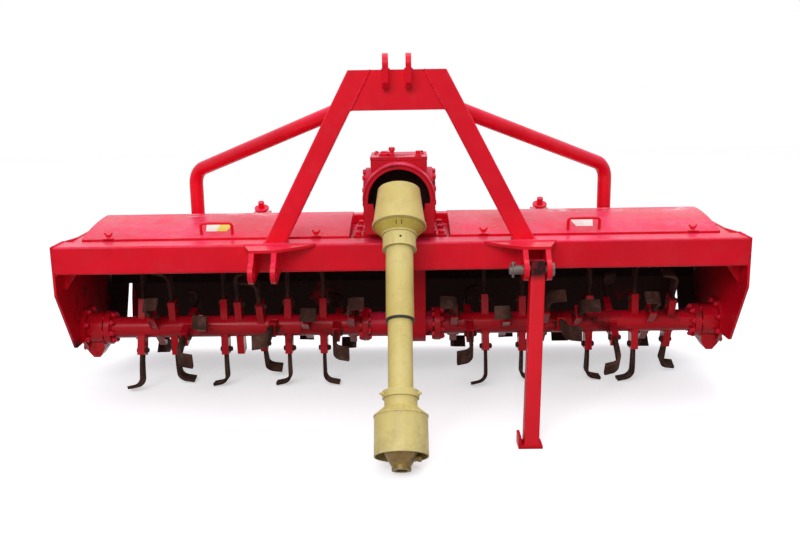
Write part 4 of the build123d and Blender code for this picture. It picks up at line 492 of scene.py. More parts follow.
def mesh_piece(name, bm, finish, body, smooth=False):
    """A piece from a bmesh, with its faces turned outwards."""
    bmesh.ops.remove_doubles(bm, verts=bm.verts, dist=1e-6)
    bmesh.ops.recalc_face_normals(bm, faces=bm.faces)
    mesh = bpy.data.meshes.new(name)
    bm.to_mesh(mesh)
    bm.free()
    mesh.materials.append(finish)
    for face in mesh.polygons:
        face.use_smooth = smooth
    if smooth:
        mesh.set_sharp_from_angle(angle=math.radians(38))
    return settle(add_object(name, mesh), body)


def turn_to(direction):
    """Matrix that turns +Z to a direction."""
    return Vector(direction).to_track_quat("Z", "Y").to_matrix().to_4x4()


def add_box(bm, size, place, turn=Matrix.Identity(4), chamfer=0.0015):
    """Block of a size, chamfered, turned and then placed."""
    made = bmesh.ops.create_cube(bm, size=1.0)["verts"]
    bmesh.ops.scale(bm, vec=Vector(size), verts=made)
    edges = {edge for vert in made for edge in vert.link_edges}
    made = bmesh.ops.bevel(
        bm, geom=list(edges), offset=chamfer, segments=2, affect="EDGES", profile=0.5
    )["verts"]
    bmesh.ops.transform(bm, matrix=Matrix.Translation(Vector(place)) @ turn, verts=made)


def circle_points(centre, direction, radius, count=32, start=0.0):
    """Points evenly round a circle that is square to direction."""
    matrix = Matrix.Translation(Vector(centre)) @ turn_to(direction)
    turns = [start + 2 * math.pi * step / count for step in range(count)]
    return [matrix @ Vector((radius * math.cos(turn), radius * math.sin(turn), 0)) for turn in turns]


def add_tube(bm, rings, hollow=False):
    """Skin over rings of vertices, with flat ends, or joined end to end where it is hollow."""
    if hollow:
        rings = [*rings, rings[0]]
    count = len(rings[0])
    for below, above in zip(rings, rings[1:]):
        for step in range(count):
            after = (step + 1) % count
            bm.faces.new((below[step], below[after], above[after], above[step]))
    if not hollow:
        bm.faces.new(list(reversed(rings[0])))
        bm.faces.new(rings[-1])


def add_turned(bm, outline, place, direction, steps=32, hollow=False):
    """Turned piece: outline is (radius, height) pairs from foot to top; hollow joins its two ends."""
    matrix = Matrix.Translation(Vector(place)) @ turn_to(direction)
    turns = [2 * math.pi * step / steps for step in range(steps)]
    add_tube(bm, [
        [bm.verts.new(matrix @ Vector((radius * math.cos(turn), radius * math.sin(turn), height)))
         for turn in turns]
        for radius, height in outline
    ], hollow)


def turned_piece(name, turnings, finish, body, hollow=False):
    """One smooth piece from (outline, place, direction, steps) turnings."""
    bm = bmesh.new()
    for outline, place, direction, steps in turnings:
        add_turned(bm, outline, place, direction, steps, hollow)
    return mesh_piece(name, bm, finish, body, smooth=True)


def add_sheet(bm, corners, start_x, end_x):
    """Flat plate across x: corners are (y, z) pairs."""
    sides = [[bm.verts.new((x, y, z)) for y, z in corners] for x in (start_x, end_x)]
    faces = [bm.faces.new(sides[0]), bm.faces.new(list(reversed(sides[1])))]
    for index in range(len(corners)):
        after = (index + 1) % len(corners)
        faces.append(bm.faces.new((sides[0][after], sides[0][index], sides[1][index], sides[1][after])))
    bmesh.ops.recalc_face_normals(bm, faces=faces)


def add_rod(bm, points, radius, steps=12):
    """Round bar bent along points, with flat ends."""
    points = [Vector(point) for point in points]
    turns = [2 * math.pi * step / steps for step in range(steps)]
    side = None
    rings = []
    for index, point in enumerate(points):
        run = (points[min(index + 1, len(points) - 1)] - points[max(index - 1, 0)]).normalized()
        if side is None:
            side = run.orthogonal().normalized()
        side = (side - run * side.dot(run)).normalized()
        up = run.cross(side)
        rings.append([
            bm.verts.new(point + radius * (side * math.cos(turn) + up * math.sin(turn))) for turn in turns
        ])
    add_tube(bm, rings)


# ---------------------------------------------------------------- geometry trees for what repeats
class Grower(Nodes):
    """A geometry tree with named sizes, grown on a source mesh into one plain piece."""

    def __init__(self, name, sizes):
        super().__init__(bpy.data.node_groups.new(name, "GeometryNodeTree"))
        face = self.tree.interface
        face.new_socket("Source", in_out="INPUT", socket_type="NodeSocketGeometry")
        for label, value in sizes.items():
            kind = "NodeSocketVector" if isinstance(value, tuple) else "NodeSocketFloat"
            face.new_socket(label, in_out="INPUT", socket_type=kind).default_value = value
        face.new_socket("Finish", in_out="INPUT", socket_type="NodeSocketMaterial")
        face.new_socket("Result", in_out="OUTPUT", socket_type="NodeSocketGeometry")
        self.given = self.add("NodeGroupInput").outputs

    def math(self, operation, first, second=0.0):
        return self.add("ShaderNodeMath", {0: first, 1: second}, operation=operation).outputs[0]

    def times(self, value, factor):
        return self.math("MULTIPLY", value, factor)

    def vector(self, x=0.0, y=0.0, z=0.0):
        return self.add("ShaderNodeCombineXYZ", {0: x, 1: y, 2: z}).outputs[0]

    def attribute(self, label):
        node = self.add("GeometryNodeInputNamedAttribute", {"Name": label}, data_type="FLOAT_VECTOR")
        return node.outputs[0]

    def moved(self, geometry, offset, rotation=(0.0, 0.0, 0.0)):
        links = {"Geometry": geometry, "Translation": offset, "Rotation": rotation}
        return self.add("GeometryNodeTransform", links).outputs[0]

    def join(self, *parts):
        node = self.add("GeometryNodeJoinGeometry")
        for part in parts:
            self.plug(part, node.inputs[0])
        return node.outputs[0]

    def cylinder(self, sides, radius, depth, rise):
        """A cylinder with its foot at rise."""
        links = {"Vertices": sides, "Radius": radius, "Depth": depth}
        node = self.add("GeometryNodeMeshCylinder", links, fill_type="NGON")
        lift = self.math("ADD", self.times(depth, 0.5), rise)
        return self.moved(node.outputs["Mesh"], self.vector(z=lift))

    def swept(self, curve, radius, sides):
        """A round wire along a curve; gives the node, so that its inputs can be set."""
        ring = self.add("GeometryNodeCurvePrimitiveCircle", {"Resolution": sides, "Radius": radius})
        links = {"Curve": curve, "Profile Curve": ring.outputs[0], "Fill Caps": True}
        return self.add("GeometryNodeCurveToMesh", links)

    def stood_up(self):
        """Rotation that stands an instance up along its point's facing."""
        links = {"Vector": self.attribute("facing")}
        return self.add("FunctionNodeAlignRotationToVector", links, axis="Z").outputs[0]

    def spun(self, turn):
        """The same rotation, with a random spin about its own axis from a fixed seed."""
        chance = self.add("FunctionNodeRandomValue", {"Max": 6.283, "Seed": 7}, data_type="FLOAT")
        value = next(out for out in chance.outputs if out.enabled)
        twist = self.add("FunctionNodeEulerToRotation", {0: self.vector(z=value)}).outputs[0]
        links = {0: turn, 1: twist}
        return self.add("FunctionNodeRotateRotation", links, rotation_space="LOCAL").outputs[0]

    def on_points(self, instance, rotation):
        links = {"Points": self.given["Source"], "Instance": instance, "Rotation": rotation}
        return self.add("GeometryNodeInstanceOnPoints", links).outputs[0]

    def close(self, geometry, smooth=False):
        """Realizes the instances, sets the finish and ends the tree."""
        real = self.add("GeometryNodeRealizeInstances", {0: geometry}).outputs[0]
        if smooth:
            real = self.add("GeometryNodeSetShadeSmooth", {0: real}).outputs[0]
        dressed = self.add("GeometryNodeSetMaterial", {"Geometry": real, "Material": self.given["Finish"]})
        self.add("NodeGroupOutput", {0: dressed.outputs[0]})
        return self

    def grow(self, name, source, finish, body, slot, **sizes):
        holder = add_object(name + "_source", source)
        modifier = holder.modifiers.new("grow", "NODES")
        modifier.node_group = self.tree
        values = {**{key.replace("_", " "): value for key, value in sizes.items()}, "Finish": finish}
        for item in self.tree.interface.items_tree:
            if item.in_out == "INPUT" and item.name in values:
                modifier[item.identifier] = values[item.name]
        graph = bpy.context.evaluated_depsgraph_get()
        mesh = bpy.data.meshes.new_from_object(holder.evaluated_get(graph), depsgraph=graph)
        bpy.data.objects.remove(holder)
        mesh.name = name
        return settle(add_object(name, mesh), body)


def point_source(name, points, **fields):
    """Mesh of loose points, each with named vectors."""
    mesh = bpy.data.meshes.new(name)
    mesh.from_pydata([tuple(point) for point in points], [], [])
    for label, values in fields.items():
        field = mesh.attributes.new(label, "FLOAT_VECTOR", "POINT")
        field.data.foreach_set("vector", [number for value in values for number in value])
    return mesh


def line_source(name, lines):
    """Mesh of polylines; a line whose first point is given again at its end is closed."""
    verts, edges = [], []
    for line in lines:
        first = len(verts)
        verts.extend(tuple(point) for point in line)
        edges.extend((index, index + 1) for index in range(first, len(verts) - 1))
    mesh = bpy.data.meshes.new(name)
    mesh.from_pydata(verts, edges, [])
    return mesh


def fastener_tree():
    """Hexagon head or nut on a washer, with the end of its thread."""
    tree = Grower("hex_fastener", {"Across Flats": 0.018, "Head Height": 0.0075, "Thread Out": 0.0})
    flats, height, thread = (tree.given[label] for label in ("Across Flats", "Head Height", "Thread Out"))
    washer_t = tree.times(flats, 0.11)
    washer = tree.cylinder(20, tree.times(flats, 0.68), washer_t, 0.0)
    head = tree.cylinder(6, tree.times(flats, 0.577), height, washer_t)
    links = {
        "Vertices": 18, "Radius Top": tree.times(flats, 0.36), "Radius Bottom": tree.times(flats, 0.47),
        "Depth": tree.times(flats, 0.07),
    }
    crown = tree.add("GeometryNodeMeshCone", links, fill_type="NGON").outputs["Mesh"]
    crown = tree.moved(crown, tree.vector(z=tree.math("ADD", height, washer_t)))
    stud = tree.cylinder(12, tree.times(flats, 0.30), tree.math("ADD", thread, 0.0008), height)
    bolt = tree.join(washer, head, crown, stud)
    return tree.close(tree.on_points(bolt, tree.spun(tree.stood_up())))


def weld_tree():
    """Rippled bead of weld metal along polylines."""
    tree = Grower("weld_bead", {"Bead": 0.0035, "Ripple": 0.0045})
    curve = tree.add("GeometryNodeMeshToCurve", {"Mesh": tree.given["Source"]}).outputs[0]
    links = {"Curve": curve, "Length": tree.math("DIVIDE", tree.given["Ripple"], 3.0)}
    even = tree.add("GeometryNodeResampleCurve", links, mode="LENGTH").outputs[0]
    index = tree.add("GeometryNodeInputIndex").outputs[0]
    wave = tree.math("SINE", tree.times(index, 2.094))
    place = tree.add("GeometryNodeInputPosition").outputs[0]
    uneven = tree.add("ShaderNodeTexNoise", {"Vector": place, "Scale": 42.0, "Detail": 2.0}).outputs["Fac"]
    size = tree.math("ADD", tree.times(wave, 0.14), tree.math("ADD", uneven, 0.45))
    sized = tree.add("GeometryNodeSetCurveRadius", {"Curve": even, "Radius": size}).outputs[0]
    bead = tree.swept(sized, tree.given["Bead"], 8)
    if "Scale" in bead.inputs:
        tree.plug(size, bead.inputs["Scale"])
    return tree.close(bead.outputs[0], smooth=True)


def coil_tree():
    """Round-wire compression spring, set on its rod."""
    sizes = {"Turns": 10.0, "Coil": 0.02, "Height": 0.2, "Wire": 0.0035}
    tree = Grower("coil_spring", {**sizes, "Place": (0.0, 0.0, 0.0), "Lean": (0.0, 0.0, 0.0)})
    given = tree.given
    links = {
        "Resolution": 24, "Rotations": given["Turns"], "Start Radius": given["Coil"],
        "End Radius": given["Coil"], "Height": given["Height"],
    }
    spiral = tree.add("GeometryNodeCurveSpiral", links).outputs[0]
    wire = tree.swept(spiral, given["Wire"], 10).outputs[0]
    return tree.close(tree.moved(wire, given["Place"], given["Lean"]), smooth=True)


def rib_tree():
    """Short raised bars laid on a surface: long side along, height along facing."""
    tree = Grower("moulded_rib", {"Length": 0.03, "Width": 0.003, "Height": 0.002})
    size = tree.vector(*(tree.given[label] for label in ("Length", "Width", "Height")))
    bar = tree.add("GeometryNodeMeshCube", {"Size": size}).outputs[0]
    links = {"Rotation": tree.stood_up(), "Vector": tree.attribute("along")}
    turn = tree.add("FunctionNodeAlignRotationToVector", links, axis="X", pivot_axis="Z").outputs[0]
    return tree.close(tree.on_points(bar, turn))


FASTENER = fastener_tree()
WELD = weld_tree()
COIL = coil_tree()
RIB = rib_tree()


def fasteners(name, spots, sizes, body="frame", finish=FITTING_PAINT, slot="red_paint"):
    """Bolts or nuts at (place, facing) pairs; sizes are across flats, head height and thread out."""
    source = point_source(name, [place for place, _ in spots], facing=[tuple(facing) for _, facing in spots])
    flats, head, thread = sizes
    return FASTENER.grow(
        name, source, finish, body, slot, Across_Flats=flats, Head_Height=head, Thread_Out=thread
    )


def ring_spots(centre, facing, radius, count, start):
    """(place, facing) pairs round a circle."""
    return [(place, facing) for place in circle_points(centre, facing, radius, count, start)]


def welds(name, lines, bead, body="frame", finish=PAINT):
    return WELD.grow(name, line_source(name, lines), finish, body, "red_paint", Bead=bead)


def ribs(name, places, facings, runs, size, finish, body):
    """Raised bars of a (length, width, height) on the drive shaft's guard."""
    length, width, height = size
    source = point_source(name, places, facing=facings, along=runs)
    RIB.grow(name, source, finish, body, "guard_plastic", Length=length, Width=width, Height=height)


# ---------------------------------------------------------------- gearbox fittings
# across flats, head height, thread out
FOOT_BOLT = (0.019, 0.009, 0.004)
GEARBOX_COVER_BOLT = (0.016, 0.008, 0.0)
LID_BOLT = (0.011, 0.0030, 0.0)
BASE_BOLT_INSET = 0.016
HOUSING_BOLT_INSET = 0.013
HOUSING_BOLT_FRONT, HOUSING_BOLT_BACK = 0.045, 0.015     # from the housing's front and back
HOUSING_FOOT_T = 0.014
COVER_RIM_T = 0.009
COVER_BOLT_R = 0.072
LID_PLATE_T = 0.010
LID_BOLT_SHARES = ((0.09, 0.55), (0.09, 0.91), (0.91, 0.91), (0.91, 0.55))
# (radius, height) outlines
BREATHER = ((0.0095, 0.0), (0.0095, 0.010), (0.0075, 0.011), (0.0075, 0.018), (0.0105, 0.019),
            (0.0105, 0.027), (0.0085, 0.030))
DRAIN_PLUG = ((0.0115, 0.0), (0.0115, 0.005), (0.0080, 0.006), (0.0080, 0.017), (0.0068, 0.0185))
FILLER_CAP = ((0.017, 0.0), (0.017, 0.004), (0.014, 0.006), (0.014, 0.009), (0.011, 0.011))
LEVEL_PLUG = ((0.013, -0.002), (0.013, 0.004), (0.0095, 0.005), (0.0095, 0.013), (0.0080, 0.0145))
LEVEL_PLUG_X, LEVEL_PLUG_Z = 0.064, 0.600
CASTING_RIB_Z = 0.668
CASTING_RIB_L = 0.150


def gearbox_bolts():
    low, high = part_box("gearbox_base")
    spots = []
    for y in (low.y + BASE_BOLT_INSET, (low.y + high.y) / 2, high.y - BASE_BOLT_INSET):
        for x in (low.x + BASE_BOLT_INSET, high.x - BASE_BOLT_INSET):
            spots.append(((x, y, high.z), Z))
    foot_z = high.z + HOUSING_FOOT_T
    low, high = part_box("gearbox_housing")
    front, back = low.y + HOUSING_BOLT_FRONT, high.y - HOUSING_BOLT_BACK
    for x in (low.x + HOUSING_BOLT_INSET, high.x - HOUSING_BOLT_INSET):
        for step in range(4):
            spots.append(((x, front + step * (back - front) / 3, foot_z), Z))
    fasteners("gearbox_foot_bolts", spots, FOOT_BOLT)
    spots = []
    for name, side in SIDES:
        cover = middle(name + "_gearbox_cover")
        reach = max(abs(corner.x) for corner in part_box(name + "_gearbox_cover")) - COVER_RIM_T
        spots += ring_spots((side * reach, cover.y, cover.z), X * side, COVER_BOLT_R, 10, 0.30)
    fasteners("gearbox_cover_bolts", spots, GEARBOX_COVER_BOLT)
    low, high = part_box("gearbox_lid")
    spots = []
    for x_share, y_share in LID_BOLT_SHARES:
        x, y = low.x + x_share * (high.x - low.x), low.y + y_share * (high.y - low.y)
        spots.append(((x, y, low.z + LID_PLATE_T), Z))
    fasteners("gearbox_lid_bolts", spots, LID_BOLT)


def gearbox_fittings():
    """Breather, filler and level plugs, and ribs on the casting."""
    low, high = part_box("gearbox_lid")
    foot_z = low.z + LID_PLATE_T - 0.001
    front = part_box("gearbox_housing")[0].y + 0.026
    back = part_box("gearbox_housing")[1].y
    turned_piece("gearbox_plugs", (
        (BREATHER, (-0.022, low.y + 0.030, foot_z), Z, 20),
        (DRAIN_PLUG, (0.062, low.y + 0.026, foot_z), Z, 20),
        (FILLER_CAP, (-0.045, middle("gearbox_lid").y - 0.040, high.z - 0.001), Z, 24),
        (LEVEL_PLUG, (LEVEL_PLUG_X, front, LEVEL_PLUG_Z), (0, -1, 0), 20),
    ), FITTING_PAINT, "frame")
    shield_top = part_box("shaft_shield")[1].z
    bm = bmesh.new()
    add_box(bm, (0.0045, 0.020, low.z - shield_top + 0.020),
            (0.0, front - 0.008, (shield_top + low.z) / 2 - 0.005))
    for x in (-0.060, 0.060):
        add_box(bm, (0.008, 0.010, CASTING_RIB_L), (x, back, CASTING_RIB_Z))
    add_box(bm, (CASTING_RIB_L, 0.010, 0.008), (0.0, back, CASTING_RIB_Z))
    mesh_piece("gearbox_casting_ribs", bm, CASE_PAINT, "frame")


def shield_lip():
    """Rolled lip at the shield's front edge."""
    low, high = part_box("shaft_shield")
    reach = high.x * 0.975
    bm = bmesh.new()
    lip = [Vector((reach * math.cos(turn), low.y + 0.001, high.z - high.x + reach * math.sin(turn)))
           for turn in [math.pi * step / 40 for step in range(41)]]
    add_rod(bm, lip, 0.0042, 10)
    mesh_piece("shield_rolled_edge", bm, CASE_PAINT, "frame", smooth=True)


gearbox_bolts()
gearbox_fittings()
shield_lip()


# ---------------------------------------------------------------- rotor fittings
SOCKET_HALF_X = 0.012
SOCKET_HALF_Y = 0.024
SOCKET_BOLT_REACH = 0.080
TUBE_R = 0.0365
FLANGE_T = 0.020
FLANGE_BOLT_R = 0.0465
WALL_BOLT_R = 0.066
WALL_BOLT_START = 0.39            # turn of the first bolt
HOUSING_BOLT_R = 0.049
BEARING_FLANGE_T = 0.012
SOCKET_BEAD = 0.0032
TINE_BOLT = (0.016, 0.005, 0.0)
TINE_NUT = (0.016, 0.007, 0.003)
FLANGE_NUT = (0.015, 0.009, 0.005)
FLANGE_BOLT = (0.015, 0.006, 0.0)
BEARING_BOLT = (0.015, 0.008, 0.003)
PLATE_BOLT = (0.016, 0.0032, 0.0)
BEARING_CAP = ((0.040, -0.001), (0.040, 0.0025), (0.036, 0.0045), (0.012, 0.0050))


def on_axis(x):
    """Point on the rotor's axis."""
    return Vector((x, ROTOR_AXIS.y, ROTOR_AXIS.z))


def nearest_x(node):
    """Least distance of a node from the machine's middle, across x."""
    return min(abs(corner.x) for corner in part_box(node))


def solids_of(node):
    """The separate solids of a CAD node, each as a list of its corner points."""
    mesh = NODES[node].data
    keys, parent = {}, {}

    def root(item):
        while parent[item] != item:
            parent[item] = parent[parent[item]]
            item = parent[item]
        return item

    spot = []
    for vert in mesh.vertices:
        key = tuple(round(value, 5) for value in vert.co)
        spot.append(keys.setdefault(key, len(keys)))
        parent.setdefault(spot[-1], spot[-1])
    for face in mesh.polygons:
        first = root(spot[face.vertices[0]])
        for index in face.vertices[1:]:
            parent[root(spot[index])] = first
    groups = {}
    for key, index in keys.items():
        groups.setdefault(root(index), []).append(Vector(key))
    return list(groups.values())


def tine_roots():
    """(x, direction out from the rotor's axis) of every tine's root."""
    roots = []
    for node in ("left_tines", "right_tines"):
        for points in solids_of(node):
            spread = [((point - ROTOR_AXIS) * Vector((0, 1, 1))).length for point in points]
            nearest = min(spread)
            base = [point for point, reach in zip(points, spread) if reach < nearest + 0.004]
            centre = sum(base, Vector()) / len(base)
            roots.append((centre.x, (centre - on_axis(centre.x)).normalized()))
    return roots


def socket_weld(x, out):
    """Closed line round a tine socket's foot, on the rotor's tube."""
    side = X.cross(out)
    loop = []
    for x_side in (LEFT, RIGHT):
        for step in range(7):
            across = x_side * (1 - step / 3) * SOCKET_HALF_Y
            up = (TUBE_R**2 - across**2) ** 0.5 + 0.001
            loop.append(on_axis(x + x_side * SOCKET_HALF_X) + side * across + out * up)
    return [*loop, loop[0]]


def rotor_fittings():
    roots = tine_roots()
    centres = [on_axis(x) + out * SOCKET_BOLT_REACH for x, out in roots]
    for name, way, sizes in (("tine_bolts", -X, TINE_BOLT), ("tine_nuts", X, TINE_NUT)):
        spots = [(centre + way * SOCKET_HALF_X, way) for centre in centres]
        fasteners(name, spots, sizes, "rotor", TINE, "tine_steel")
    welds("socket_welds", [socket_weld(x, out) for x, out in roots], SOCKET_BEAD, "rotor", ROTOR_PAINT)
    nuts, bolts = [], []
    for name, side in SIDES:
        inner = nearest_x(name + "_rotor_shaft")
        outer = nearest_x(name + "_bearing_housing")
        for reach, way in ((inner + FLANGE_T, side), (outer - FLANGE_T - 0.004, -side)):
            nuts += ring_spots(on_axis(side * reach), X * way, FLANGE_BOLT_R, 8, 0.2)
        bolts += ring_spots(on_axis(side * inner), X * -side, FLANGE_BOLT_R, 8, 0.2)
    fasteners("rotor_flange_nuts", nuts, FLANGE_NUT, "rotor")
    fasteners("rotor_flange_bolts", bolts, FLANGE_BOLT, "rotor")


def bearing_fittings():
    """Bolts that hold the end bearings through the end plates, and the caps outside them."""
    inside, outside, caps = [], [], []
    outer_x = cad_box[1][0]
    for name, side in SIDES:
        wall = on_axis(side * (BEAM_HIGH.x - BEARING_FLANGE_T))
        housing = on_axis(side * nearest_x(name + "_bearing_housing"))
        outer = on_axis(side * (outer_x - 0.0014))
        inside += ring_spots(wall, X * -side, WALL_BOLT_R, 8, WALL_BOLT_START)
        inside += ring_spots(housing, X * -side, HOUSING_BOLT_R, 6, 0.1)
        outside += ring_spots(outer, X * side, WALL_BOLT_R, 8, WALL_BOLT_START)
        caps.append((BEARING_CAP, on_axis(side * outer_x), X * side, 40))
    fasteners("bearing_bolts", inside, BEARING_BOLT)
    fasteners("end_plate_bolt_heads", outside, PLATE_BOLT)
    turned_piece("bearing_caps", caps, PAINT, "frame")


rotor_fittings()
bearing_fittings()


# ---------------------------------------------------------------- drive shaft fittings
# name, distance down the shaft, radius, width, finish, body
SHAFT_RINGS = (
    ("upper_cone_lip", 0.0665, 0.0820, 0.0075, GUARD, "upper_drive"),
    ("upper_neck_lip", 0.1010, 0.0540, 0.0045, GUARD, "upper_drive"),
    ("upper_collar_lip", 0.1455, 0.0515, 0.0050, GUARD, "upper_drive"),
    ("guard_wear_ring", 0.3700, 0.0418, 0.0080, BLACK, "upper_drive"),
    ("lower_bell_lip", 0.6545, 0.0768, 0.0050, GUARD, "lower_drive"),
)
# name, start and end down the shaft, radius at each, count, width, height, body
SHAFT_RIBS = (
    ("lower_bell_ribs", 0.633, 0.652, 0.0492, 0.0712, 24, 0.0035, 0.0016, "lower_drive"),
    ("upper_collar_ribs", 0.110, 0.142, 0.0500, 0.0500, 8, 0.0040, 0.0014, "upper_drive"),
)
SLOT_RUN, SLOT_DROP = 0.033, 0.0275      # the second cone's length and how far it narrows
SLOT_SIZE = (0.014, 0.0022, 0.0012)
PEG = ((0.0055, 0.0), (0.0055, 0.006), (0.0035, 0.0065), (0.0035, 0.011))
GREASER_HOLE = ((0.0036, -0.0010), (0.0036, 0.0010), (0.0026, 0.0014))
PUSH_PIN = ((0.0080, -0.004), (0.0080, 0.004), (0.0105, 0.006), (0.0105, 0.014), (0.0085, 0.016))
JOINT_CAP = ((0.0125, -0.001), (0.0125, 0.0025), (0.0100, 0.0035))


def shaft_point(along, out=0.0, x=0.0):
    """A point measured down the drive shaft from its upper joint."""
    return SHAFT_TOP + SHAFT_DOWN * along + SHAFT_OUT * out + X * x


def shaft_ring(name, along, radius, width, finish, body):
    """Band around the drive shaft's guard."""
    outline = ((radius - 0.003, 0.0), (radius, 0.0008), (radius, width - 0.0008), (radius - 0.003, width))
    turnings = ((outline, shaft_point(along), SHAFT_DOWN, 48),)
    turned_piece(name, turnings, finish, body, hollow=True)


def cone_ribs(name, start, end, start_r, end_r, count, width, height, body):
    """Ribs along a cone of the guard, all the way round it."""
    places, facings, runs = [], [], []
    for step in range(count):
        turn = 2 * math.pi * (step + 0.5) / count
        spoke = SHAFT_OUT * math.cos(turn) + X * math.sin(turn)
        first = shaft_point(start) + spoke * start_r
        last = shaft_point(end) + spoke * end_r
        run = (last - first).normalized()
        places.append((first + last) / 2)
        facings.append((spoke - run * spoke.dot(run)).normalized())
        runs.append(run)
    size = (math.hypot(end - start, end_r - start_r), width, height)
    ribs(name, places, facings, runs, size, GUARD, body)


def cone_slots():
    """Two vents in the front of the upper guard's second cone, drawn as black bars: painted shade inside
    them.
    """
    run = (SHAFT_DOWN * SLOT_RUN - SHAFT_OUT * SLOT_DROP).normalized()
    facing = (SHAFT_OUT * SLOT_RUN + SHAFT_DOWN * SLOT_DROP).normalized()
    places = [shaft_point(0.0875, 0.0662, x) for x in (-0.008, 0.008)]
    ribs("cone_slots", places, [facing] * 2, [run] * 2, SLOT_SIZE, BLACK, "upper_drive")


def drive_fittings():
    for ring in SHAFT_RINGS:
        shaft_ring(*ring)
    for row in SHAFT_RIBS:
        cone_ribs(*row)
    cone_slots()
    pegs = []
    for side in (LEFT, RIGHT):
        spoke = (X * side + SHAFT_OUT * 0.35).normalized()
        pegs.append((PEG, shaft_point(0.596) + spoke * 0.050, spoke, 14))
    turned_piece("guard_pegs", pegs, GUARD, "lower_drive")
    # painted shade: a black disc stands for the dark inside the collar's greaser hole
    turned_piece(
        "collar_greaser_hole", ((GREASER_HOLE, shaft_point(0.126, 0.0495, 0.004), SHAFT_OUT, 16),),
        BLACK, "upper_drive",
    )
    turned_piece(
        "yoke_push_pin", ((PUSH_PIN, shaft_point(0.772, 0.0, 0.040), X, 20),),
        YOKE, "lower_drive",
    )
    caps = [(JOINT_CAP, shaft_point(0.712, 0.0, side * 0.037), X * side, 20) for side in (LEFT, RIGHT)]
    turned_piece("lower_joint_caps", caps, YOKE, "lower_drive")


drive_fittings()


# ---------------------------------------------------------------- linch pin and cover screws
LINCH_HEAD = ((0.0060, 0.0), (0.0075, 0.002), (0.0075, 0.006), (0.0050, 0.008))
LINCH_RING_R = 0.020
LINCH_RING_HANG = Vector((0.0, 0.016, 0.014))
CLIP_INSETS = (0.086, 0.106)      # in from the cover's outer and inner ends
CLIP_BACK = 0.006                 # behind the cover's front edge
CLIP_STEM = ((0.0085, 0.0), (0.0085, 0.003), (0.0055, 0.004), (0.0055, 0.013), (0.0045, 0.0145))
CLIP_TAB = (0.030, 0.022, 0.003)
CLIP_WING = (0.0060, 0.0034, 0.015)
CLIP_WING_LEAN = 32


def surface_of(node):
    """Search tree of a node's surface."""
    mesh = NODES[node].data
    faces = [face.vertices for face in mesh.polygons]
    return BVHTree.FromPolygons([vert.co for vert in mesh.vertices], faces)


def from_above(surface, x, y):
    """Point and normal of a surface over a place."""
    return surface.ray_cast(Vector((x, y, 2.0)), -Z)[:2]


def linch_pin():
    """Linch pin and its ring at the inner end of the right hitch pin."""
    axis = middle("right_hitch_pin")
    place = Vector((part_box("right_hitch_pin")[0].x + 0.012, axis.y - 0.004, axis.z))
    bm = bmesh.new()
    add_rod(bm, [place + Z * 0.018, place - Z * 0.022], 0.0040, 14)
    add_turned(bm, LINCH_HEAD, place + Z * 0.017, Z, 20)
    top = place + Vector((-0.004, 0.0, 0.022))
    turns = [2 * math.pi * step / 36 for step in range(37)]
    ring = [Vector((0.0, math.sin(turn), math.cos(turn))) * LINCH_RING_R for turn in turns]
    add_rod(bm, [top - LINCH_RING_HANG + point for point in ring], 0.0020, 8)
    mesh_piece("linch_pin", bm, ZINC, "frame", smooth=True)


def cover_clips():
    """Winged screws on short tabs along each cover's front edge."""
    for name, side in SIDES:
        cover = name + "_cover"
        surface = surface_of(cover)
        low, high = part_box(cover)
        outer_inset, inner_inset = CLIP_INSETS
        outer_x, inner_x = (low.x, high.x) if side < 0 else (high.x, low.x)
        bm = bmesh.new()
        for x in (outer_x - side * outer_inset, inner_x + side * inner_inset):
            foot, _ = from_above(surface, x, low.y + CLIP_BACK)
            add_box(bm, CLIP_TAB, foot + Vector((0, -0.004, 0.001)), chamfer=0.0008)
            add_turned(bm, CLIP_STEM, foot, Z, 18)
            for wing in (LEFT, RIGHT):
                lean = Matrix.Rotation(math.radians(wing * CLIP_WING_LEAN), 4, "Y")
                add_box(bm, CLIP_WING, foot + Vector((wing * 0.0085, 0, 0.0125)), lean, 0.0010)
        mesh_piece(cover + "_clips", bm, FITTING_PAINT, name + "_top_cover")


linch_pin()
cover_clips()


# ---------------------------------------------------------------- labels
LABEL_T = 0.0005
LABEL_DEPTH = 0.068
LABEL_BACK = 0.024                # its front edge, behind the handle's middle
LABEL_TAPER = (0.010, 0.012)      # how much shorter its front edge is at each end
# left and right: start and end beside the handle's middle, two tones
LABELS = {
    "left": (-0.050, 0.040, (0.86, 0.82, 0.70), (0.80, 0.62, 0.06)),
    "right": (-0.030, 0.046, (0.80, 0.66, 0.62), (0.84, 0.76, 0.70)),
}


def surface_patch(name, node, corners, steps, finish, body):
    """Thin film laid on a node's surface from above, inside four corners given in x and y."""
    surface = surface_of(node)
    across, deep = steps
    front_left, front_right, back_right, back_left = (Vector(corner) for corner in corners)
    bm = bmesh.new()
    grid = []
    for row in range(deep + 1):
        line = []
        for column in range(across + 1):
            front = front_left.lerp(front_right, column / across)
            spot = front.lerp(back_left.lerp(back_right, column / across), row / deep)
            hit, normal = from_above(surface, spot.x, spot.y)
            line.append(bm.verts.new(hit + normal * LABEL_T))
        grid.append(line)
    for near, far in zip(grid, grid[1:]):
        for column in range(across):
            bm.faces.new((near[column], near[column + 1], far[column + 1], far[column]))
    bmesh.ops.solidify(bm, geom=bm.faces[:], thickness=LABEL_T * 0.7)
    return mesh_piece(name, bm, finish, body, smooth=True)


